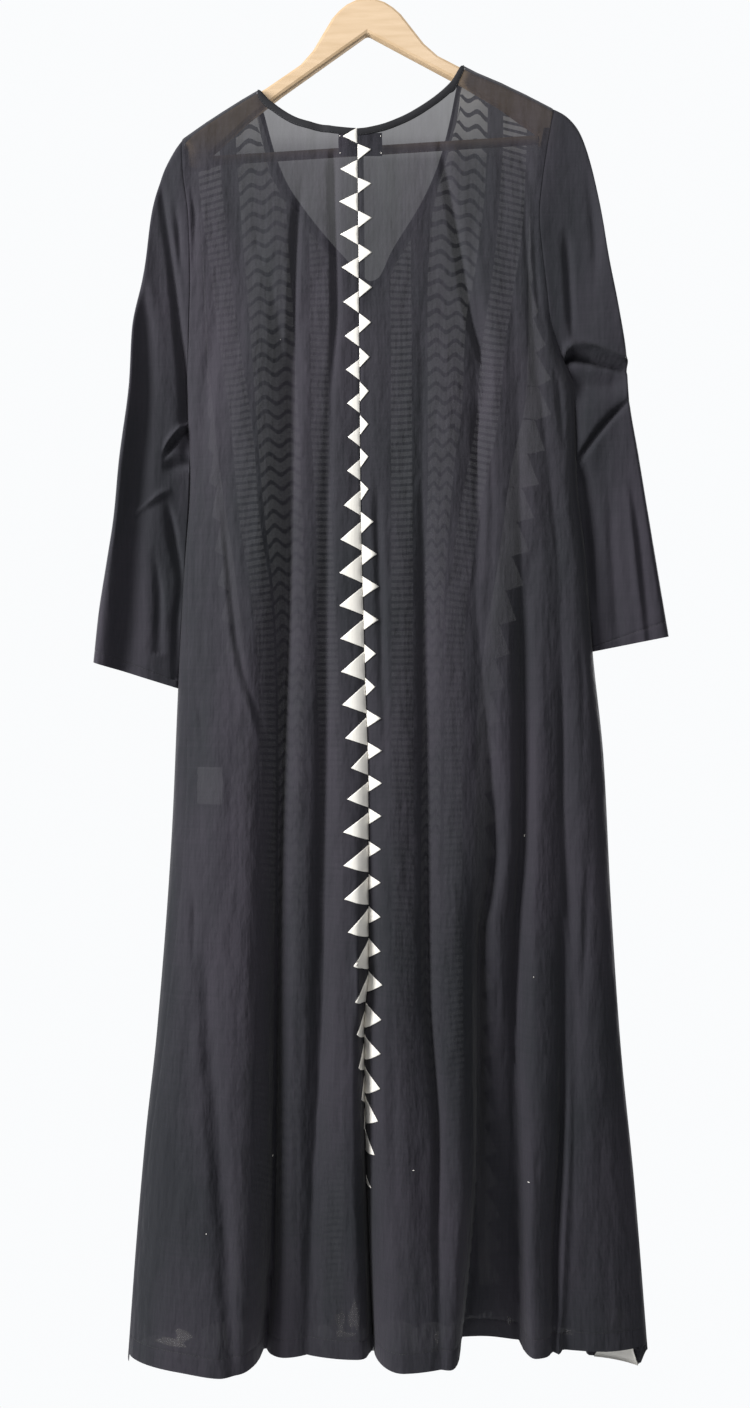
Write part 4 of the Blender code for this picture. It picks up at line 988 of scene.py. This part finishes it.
def sleeve_grid(rows, edge, side):
    """Rings of a sleeve from the armhole to the cuff; side is -1 at the left."""
    start = top_of(edge, ridge)[0]
    near = np.array(NEAR_ARMHOLE) / ARMHOLE_LENGTH
    share = np.concatenate([near, np.linspace(0.06, 0.94, RING_POINTS), 1 - near[::-1]])
    depths = start + share * (UNDERARM - start)
    armhole = np.stack([edge(depths), depths], axis=1)
    armhole_half = armhole_out(edge, depths) * rounded(depths - start, SHOULDER_ROUND)
    shape = curves(rows)
    cuff_line = 1 - CUFF_DEEP / SLEEVE_LENGTH
    times = np.concatenate([SLEEVE_START, np.linspace(0.02, cuff_line - 0.01, SLEEVE_RINGS),
                            cuff_line + np.array(NEAR_CUFF), SLEEVE_STOP])
    rings = []
    for t in times:
        across, down, in_across, in_down, half = (float(curve(t)) for curve in shape)
        settled = min(t / SLEEVE_SETTLED, 1.0)
        outer = np.array((across, down))
        tucked = SLEEVE_TUCK * min(t / TUCK_SETTLED, 1.0)
        inner = np.array((in_across - side * tucked, in_down))
        straight = outer + (inner - outer) * share[:, None]
        if not rings:
            bend = armhole - straight
        flat = straight + bend * (1 - settled) ** 2
        width = np.linalg.norm(inner - outer)
        deep = half * rounded(share * width, SHOULDER_ROUND)
        deep *= rounded((1 - share) * width, EDGE_ROUND)
        deep = armhole_half * (1 - settled) + deep * settled
        dips = np.exp(-((t - cuff_line) / CUFF_DIP_LENGTH) ** 2)
        dips += ARMHOLE_DIP * np.exp(-(t / ARMHOLE_DIP_LENGTH) ** 2)
        lean = settled * np.interp(share, (0, 1), SLEEVE_LEAN)
        near_side, far_side = sleeve_sides(flat, deep, lean, min(t / CREASED_SLEEVE, 1.0), dips)
        rings.append(np.concatenate([near_side, far_side[-2:0:-1], near_side[:1]]))
    return np.array(rings)


# What is sewn on the cloth

def make_comb(name, rows, side):
    """The triangles beside the middle seam; side is -1 at the left."""
    shape = curves(rows)
    shares = np.linspace(0, 1, COMB_COLUMNS)
    pile = Pile()
    for tooth in range(rows[-1][0] + 1):
        tip, reach, above, below = (float(curve(tooth)) for curve in shape)
        ends = (tip - above, tip, tip + below)
        down = np.concatenate([np.linspace(*ends[:2], 8), np.linspace(*ends[1:], 8)[1:]])[:, None]
        wide = np.interp(down, ends, (COMB_JOIN, reach, COMB_JOIN))
        across = SEAM_LINE(down) + side * (COMB_GAP + wide * shares)
        pile.add_flat(BACK, across, down, COMB_OVER, COMB_THICK)
    return pile.make(name)


def make_binding(name, layer, rows, stitches):
    """The neck's binding, folded over the edge of a layer."""
    top = neckline(rows)
    deep = BINDING_DEEP
    section = ((deep, 0.03), (deep - 0.03, 0.07), (deep / 2, 0.09), (0.12, 0.08), (-0.02, 0.0),
               (0.12, -0.1), (deep / 2, -0.1), (deep, -0.08))
    lines = []
    for across in np.linspace(-BINDING_END, BINDING_END, BINDING_COLUMNS):
        start, steep = top_of(lambda down: across, top)
        steep = min(steep, STEEPEST_BINDING)
        lines.append([(across, start + steep * d, over) for d, over in section])
    at = np.transpose(np.array(lines), (1, 0, 2))
    grid = layer.above(at[..., 0], at[..., 1], at[..., 2])
    stitches.add_stitches(grid[1] * 0.85 + grid[2] * 0.15, layer.normal(at[1, :, 0], at[1, :, 1]))
    return cloth_grid(name, grid)


def make_label(name, across, down, crumple, over):
    """A plain label against the inside of the back."""
    xs, depths = np.meshgrid(np.linspace(*across, LABEL_COLUMNS), np.linspace(*down, LABEL_ROWS))
    wave = crumple * np.sin(xs * 2.3 + depths * 1.1) * np.sin(depths * 2.9 - xs * 0.7)
    pile = Pile()
    pile.add_flat(BACK, xs + 0.6 * wave, depths, over - np.abs(wave), LABEL_THICK)
    return pile.make(name)


def make_flecks(name, flecks, rise):
    """Small pale flecks on the back, of thread, of cloth and specks: rows of (across, down,
    half width, half height)."""
    pile = Pile()
    turn = np.linspace(0, 2 * math.pi, 13)[:, None]
    ring = np.array((0.02, 0.55, 0.85, 1.0))
    for i, (across, down, wide, tall) in enumerate(flecks):
        uneven = 1 + 0.22 * np.sin(3 * turn + 2 * i) + 0.12 * np.sin(5 * turn + i)
        xs = across + np.cos(turn) * ring * wide * uneven
        depths = down + np.sin(turn) * ring * tall * uneven
        over = rise * np.array((1.0, 0.9, 0.6, 0.2))
        pile.add(BACK.above(xs, depths, np.broadcast_to(over, xs.shape)))
    return pile.make(name)


def make_hem(name, layer, columns, stitches):
    """The cloth that is turned up inside a hem."""
    ends = layer.hem([column(BODY_END) for column in columns])
    down = np.linspace(ends - HEM_DEEP, ends - CUT_EDGE, HEM_ROWS)
    across = places(columns, down)
    seam = (across[0], down[0])
    stitches.add_stitches(layer.point(*seam), layer.normal(*seam))
    return cloth_grid(name, layer.above(across, down, HEM_UNDER))


def make_allowance(name, line, start, end, side):
    """A seam's turned-in cloth, inside the back and to one side of its line."""
    down = np.linspace(start, end, ALLOWANCE_ROWS)[:, None]
    aside = side * np.linspace(CUT_EDGE, SEAM_ALLOWANCE, 4)
    return cloth_grid(name, BACK.above(line(down) + aside, down, ALLOWANCE_UNDER))


def make_cuff(name, grid, stitches):
    """The cloth that is turned up inside a cuff."""
    rings = grid[-CUFF_ROWS:]
    middle = rings.mean(axis=1, keepdims=True)
    outward = unit((rings[0] - middle[0]) * np.array((0.2, 1.0, 0.0)))
    stitches.add_stitches(rings[0], outward)
    return cloth_grid(name, middle + (rings - middle) * np.array(INNER_CUFF))


def make_patch(name, outline, over, thick):
    """A flat patch on the front between two lines: rows of (down, left, right)."""
    left, right = curves(outline)
    down = np.linspace(outline[0][0], outline[-1][0], 12)[:, None]
    across = left(down) + (right(down) - left(down)) * np.linspace(0, 1, 14)
    pile = Pile()
    pile.add_flat(FRONT, across, down, over, thick)
    return pile.make(name)


# Materials

SLOTS = {"cream": "cream_cotton", "mark": "cream_cotton", "strokes": "cream_cotton",
         "label": "pale_label"}


class Look:
    """A material that is being made, and short ways to add nodes to it."""

    def __init__(self, name, color, roughness, **values):
        self.material = bpy.data.materials.new(name)
        self.material.use_nodes = True
        self.tree = self.material.node_tree
        self.link = self.tree.links.new
        self.inputs = self.tree.nodes["Principled BSDF"].inputs
        self.inputs["Base Color"].default_value = (*color, 1.0)
        self.inputs["Roughness"].default_value = roughness
        for key, value in values.items():
            self.inputs[key.replace("_", " ")].default_value = value

    def node(self, kind, **values):
        """A node with some of its inputs or settings set."""
        made = self.tree.nodes.new("ShaderNode" + kind)
        for key, value in values.items():
            name = key.replace("_", " ")
            if name in made.inputs:
                made.inputs[name].default_value = value
            else:
                setattr(made, key, value)
        return made

    def streaks(self, stretch, scale, detail=2.0):
        """Noise that is drawn out along the threads."""
        mapping = self.node("Mapping", Scale=stretch)
        noise = self.node("TexNoise", Scale=scale, Detail=detail)
        self.link(self.node("TexCoord").outputs["Object"], mapping.inputs["Vector"])
        self.link(mapping.outputs["Vector"], noise.inputs["Vector"])
        return noise.outputs["Fac"]

    def added(self, *parts):
        """The sum of some outputs, each times its weight."""
        total = None
        for output, weight in parts:
            step = self.node("Math", operation="MULTIPLY_ADD")
            step.inputs[1].default_value = weight
            step.inputs[2].default_value = 0.0
            self.link(output, step.inputs[0])
            if total:
                self.link(total, step.inputs[2])
            total = step.outputs[0]
        return total

    def ramp(self, output, *stops):
        """A colour ramp: stops are (position, colour)."""
        ramp = self.node("ValToRGB")
        elements = ramp.color_ramp.elements
        while len(elements) < len(stops):
            elements.new(0.5)
        for element, (position, color) in zip(elements, stops):
            element.position = position
            element.color = (*color, 1)
        self.link(output, ramp.inputs["Fac"])
        return ramp.outputs["Color"]

    def bump(self, height, strength, distance, under=None):
        """A surface pushed out by a height, over another such surface."""
        made = self.node("Bump", Strength=strength, Distance=distance)
        self.link(height, made.inputs["Height"])
        if under:
            self.link(under, made.inputs["Normal"])
        return made.outputs["Normal"]


def woven(name, dark, light, roughness, fade=None, wrinkle=0.0, weave=0.0004, patchy=0.04,
          **values):
    """Cloth whose colour and surface vary along its threads, and whose cover may change with
    height: fade has rows of (height, how much of the light the cloth stops)."""
    look = Look(name, light, roughness, **values)
    warp = look.streaks((1.0, 1.0, 0.02), 420.0)
    weft = look.streaks((0.02, 0.02, 1.0), 420.0)
    cloud = look.streaks((1.0, 1.0, 0.3), 11.0, 3.0)
    tone = look.added((warp, 0.14), (weft, 0.14), (cloud, 0.72))
    look.link(look.ramp(tone, (0.36, dark), (0.64, light)), look.inputs["Base Color"])
    surface = None
    if wrinkle:
        long = look.streaks((1.0, 1.0, 0.14), 22.0, 4.0)
        short = look.streaks((1.0, 1.0, 0.45), 55.0, 3.0)
        surface = look.bump(look.added((long, 0.68), (short, 0.32)), 0.8, wrinkle)
    surface = look.bump(look.added((warp, 0.5), (weft, 0.5)), 0.35, weave, surface)
    look.link(surface, look.inputs["Normal"])
    if fade:
        parts = look.node("SeparateXYZ")
        look.link(look.node("TexCoord").outputs["Object"], parts.inputs["Vector"])
        top, bottom = fade[0][0], fade[-1][0]
        span = look.node("MapRange", From_Min=top, From_Max=bottom)
        look.link(parts.outputs["Z"], span.inputs["Value"])
        stops = [((height - top) / (bottom - top), (cover,) * 3) for height, cover in fade]
        cover = look.ramp(span.outputs["Result"], *stops)
        shifted = look.node("Math", operation="SUBTRACT", use_clamp=True)
        shifted.inputs[1].default_value = 0.01 + patchy / 2
        look.link(look.added((cover, 1.0), (warp, 0.04), (cloud, patchy)), shifted.inputs[0])
        look.link(shifted.outputs[0], look.inputs["Alpha"])
    return look.material


def beech(name):
    """Pale varnished wood with its grain along the arms."""
    look = Look(name, (0.8, 0.68, 0.5), 0.42)
    grain = look.streaks((0.12, 1.0, 1.0), 160.0, 6.0)
    color = look.ramp(grain, (0.3, (0.5, 0.35, 0.2)), (0.75, (0.6, 0.44, 0.28)))
    look.link(color, look.inputs["Base Color"])
    look.link(look.bump(grain, 0.15, 0.0005), look.inputs["Normal"])
    return look.material


def steel(name):
    look = Look(name, (0.72, 0.72, 0.74), 0.22, Metallic=1.0)
    rough = look.node("MapRange", To_Min=0.16, To_Max=0.34)
    look.link(look.streaks((1.0, 1.0, 1.0), 240.0), rough.inputs["Value"])
    look.link(rough.outputs["Result"], look.inputs["Roughness"])
    return look.material


def make_looks():
    """The materials and their slots by name."""
    blacks = ((0.0176, 0.0186, 0.0228), (0.0335, 0.0298, 0.0392))
    solid_blacks = ((0.009, 0.009, 0.011), (0.02, 0.02, 0.023))
    thin = {"Specular_IOR_Level": 0.22, "Sheen_Weight": 0.04, "Sheen_Roughness": 0.5}
    # The covers rise towards the bottom. For the voiles this is partly more cloth in the deeper folds and partly
    # painted shade. For the strokes it is painted shade. Lower down, less of the bright room shows through them.
    back_cover = ((-0.2, 0.76), (-0.238, 0.79), (-0.268, 0.92), (-0.34, 0.942), (-0.6, 0.944),
                  (-0.8, 0.957), (-1.0, 0.963), (-1.35, 0.975), (-1.5, 0.98), (-1.57, 0.988),
                  (-1.62, 1.0))
    front_cover = ((-0.2, 0.88), (-0.5, 0.92), (-1.1, 0.96), (-1.45, 1.0))
    stroke_cover = ((-0.2, 0.55), (-0.6, 0.58), (-0.8, 0.7), (-1.0, 0.8), (-1.4, 0.85),
                    (-1.64, 0.8))

    def voile(name, cover, wrinkle=0.0, roughness=0.85):
        return woven(f"{name}_voile", *blacks, roughness, cover, wrinkle, **thin)

    materials = {
        "back": voile("back", back_cover, 0.015),
        "front": voile("front", front_cover, 0.009),
        "sleeve": voile("sleeve", ((-0.2, 0.96), (-0.9, 0.98)), 0.009),
        "inner": voile("inner", ((-0.2, 0.8), (-1.64, 0.9)), roughness=0.9),
        "edge": woven("edge_cotton", *solid_blacks, 0.85, Specular_IOR_Level=0.3),
        "thread": woven("black_thread", *solid_blacks, 0.6, weave=0.0001),
        "cream": woven("comb_cotton", (0.78, 0.75, 0.69), (0.9, 0.87, 0.81), 0.85, weave=0.001,
                       Specular_IOR_Level=0.3),
        "mark": woven("pale_mark", (0.5, 0.47, 0.42), (0.62, 0.6, 0.55), 0.85,
                      ((-0.2, 0.03), (-1.64, 0.03)), patchy=0.14),
        "strokes": woven("stroke_cotton", (0.5, 0.475, 0.43), (0.62, 0.6, 0.55), 0.85,
                         stroke_cover, patchy=0.7),
        # The label's emission is painted light: it glows so that it shows through the dark back, though it is no lamp.
        "label": woven("label_satin", (0.7, 0.7, 0.7), (0.85, 0.85, 0.84), 0.5,
                       Emission_Color=(0.8, 0.8, 0.82, 1.0), Emission_Strength=0.8),
    }
    return {name: (material, SLOTS.get(name, "black_voile"))
            for name, material in materials.items()}


def put_on(item, look, *nodes):
    """Give a piece its material, its slot and its body, and hide the solids it replaces."""
    material, slot = look
    item.data.materials.clear()
    item.data.materials.append(material)
    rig.slot(item, slot)
    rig.ride(item, "root")
    if nodes:
        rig.replaces(item, *nodes)
    return item


# The camera and the lights, in metres

EYE = (0.016, -1.40, -0.877)
SENSOR = 36.0
FOCAL_PIXELS = 1236
PHOTO_HEIGHT_PIXELS = 1408
LIGHTS = (
    ("left_window", (-2.1, -1.2, 0.0), (0, 0, -0.85), (0.9, 2.1), 118),
    ("front_window", (0.35, -1.6, 0.9), (0.1, 0, -0.3), (1.2, 0.8), 20),
    ("far_window", (2.0, 2.1, 0.3), (0, 0, -0.8), (1.2, 2.0), 130),
    ("far_fill", (-2.2, 1.9, 0.0), (0, 0, -0.8), (1.0, 1.6), 60),
)
FLOOR_HEIGHT = -2.25


def make_view():
    camera = bpy.data.cameras.new("camera")
    camera.sensor_fit = "AUTO"
    camera.sensor_width = SENSOR
    camera.lens = FOCAL_PIXELS / PHOTO_HEIGHT_PIXELS * SENSOR
    eye = placed("camera", camera)
    eye.location = EYE
    eye.rotation_euler = (math.pi / 2, 0, 0)
    bpy.context.scene.camera = eye


def area_light(name, place, aim, size, watts):
    lamp = bpy.data.lights.new(name, "AREA")
    lamp.shape = "RECTANGLE"
    lamp.size, lamp.size_y = size
    lamp.energy = watts
    item = placed(name, lamp)
    item.location = place
    way = np.subtract(aim, place)
    yaw = math.atan2(way[0], way[1])
    pitch = math.atan2(way[2], math.hypot(way[0], way[1]))
    item.rotation_euler = (math.pi / 2 + pitch, 0, -yaw)


def make_room():
    """A pale room: bright to look at, with a softer light from all round, and its windows."""
    bpy.context.scene.view_settings.view_transform = "Standard"
    world = bpy.data.worlds.new("room")
    world.use_nodes = True
    nodes, links = world.node_tree.nodes, world.node_tree.links
    output = nodes["World Output"]
    wall = nodes["Background"]
    wall.inputs["Color"].default_value = (0.96, 0.97, 0.98, 1)
    wall.inputs["Strength"].default_value = 1.0
    fill = nodes.new("ShaderNodeBackground")
    fill.inputs["Color"].default_value = (0.93, 0.96, 1.0, 1)
    fill.inputs["Strength"].default_value = 0.2
    path = nodes.new("ShaderNodeLightPath")
    mix = nodes.new("ShaderNodeMixShader")
    links.new(path.outputs["Is Camera Ray"], mix.inputs[0])
    links.new(fill.outputs[0], mix.inputs[1])
    links.new(wall.outputs[0], mix.inputs[2])
    links.new(mix.outputs[0], output.inputs["Surface"])
    bpy.context.scene.world = world
    for light in LIGHTS:
        area_light(*light)
    mesh = bpy.data.meshes.new("floor")
    turns = np.linspace(0, 2 * math.pi, 64, endpoint=False)
    ring = [(math.cos(t), math.sin(t), FLOOR_HEIGHT) for t in turns]
    mesh.from_pydata(ring, [], [tuple(range(len(ring)))])
    mesh.materials.append(Look("pale_floor", (0.8, 0.81, 0.82), 0.7).material)
    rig.stage(placed("floor", mesh))


def make_cloth(looks, stitches):
    """The five pieces of cloth, with the front's bands."""
    sheets = []
    for side, first, last, count, cut in (
            ("left", side_seam, SEAM_LINE, LEFT_COLUMNS, BACK_LEFT_CUT),
            ("right", SEAM_LINE, right_edge, RIGHT_COLUMNS, BACK_RIGHT_CUT)):
        half = make_back(f"back_{side}_cloth", spread_columns(first, last, count))
        sheets.append((put_on(half, looks["back"], f"back_{side}"), cut))
    cloth, strokes = make_front()
    sheets.append((put_on(cloth, looks["front"], "front"), FRONT_CUT))
    for item, name in strokes:
        put_on(item, looks["strokes"], f"band_{name}")
    for side, sign, rows, edge in (("left", -1, LEFT_SLEEVE, left_edge),
                                   ("right", 1, RIGHT_SLEEVE, right_edge)):
        grid = sleeve_grid(rows, edge, sign)
        sleeve = cloth_grid(f"sleeve_{side}_cloth", grid)
        sheets.append((put_on(sleeve, looks["sleeve"], f"sleeve_{side}"), SLEEVE_CUT))
        put_on(make_cuff(f"cuff_{side}", grid, stitches), looks["inner"])
    for item, (flat, area) in sheets:
        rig.sheet(item, flat=flat, held="hung", rests_on=["hanger_wood"], area=area)


def make_trims(looks, stitches):
    """The combs, the bindings, the labels, the hems and the seams' turned-in cloth."""
    for side, rows, sign in (("left", LEFT_COMB, -1), ("right", RIGHT_COMB, 1)):
        put_on(make_comb(f"comb_{side}", rows, sign), looks["cream"], f"sawtooth_back_{side}")
    for side, layer, rows in (("back", BACK, BACK_NECK), ("front", FRONT, FRONT_NECK)):
        put_on(make_binding(f"{side}_neck_edge", layer, rows, stitches), looks["edge"],
               f"neck_binding_{side}")
    put_on(make_label("neck_tab", *NECK_LABEL), looks["edge"], "neck_label")
    put_on(make_label("side_tab", *CARE_LABEL), looks["label"], "care_label")
    put_on(make_flecks("label_knots", LABEL_KNOTS, FLECK_RISE), looks["cream"])
    put_on(make_flecks("lint", PALE_FLECKS, FLECK_RISE), looks["cream"])
    put_on(make_flecks("pale_marks", PALE_MARKS, MARK_RISE), looks["mark"])
    put_on(make_patch("hem_patch", HEM_PATCH, PATCH_OVER, PATCH_THICK), looks["cream"])
    for side, layer, first in (("back", BACK, side_seam), ("front", FRONT, left_edge)):
        columns = spread_columns(first, right_edge, HEM_COLUMNS)
        put_on(make_hem(f"{side}_hem", layer, columns, stitches), looks["inner"])
    for name, line, start, end, side in (("middle", SEAM_LINE, 23.4, 159.5, 1),
                                         ("side", side_seam, 54, 159.5, 1),
                                         ("left_armhole", left_edge, 25.5, 52, 1),
                                         ("right_armhole", right_edge, 23, 52, -1)):
        put_on(make_allowance(f"{name}_allowance", line, start, end, side), looks["inner"])
    put_on(stitches.make("stitches"), looks["thread"])


def dress_hanger():
    """The hanger's own solids get their materials."""
    for part, material in (("wood", beech("beech_wood")), ("bar", beech("beech_bar")),
                           ("hook", steel("steel_hook")), ("collar", steel("steel_collar"))):
        item = frame["nodes"][f"hanger_{part}"]
        item.data.materials.clear()
        item.data.materials.append(material)


def main():
    make_view()
    make_room()
    looks = make_looks()
    stitches = Pile()
    make_cloth(looks, stitches)
    make_trims(looks, stitches)
    dress_hanger()
    new_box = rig.bounds()
    with open("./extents.json", "w") as file:
        json.dump({"cad": [list(v) for v in CAD_BOX], "visual": [list(v) for v in new_box]}, file)


main()
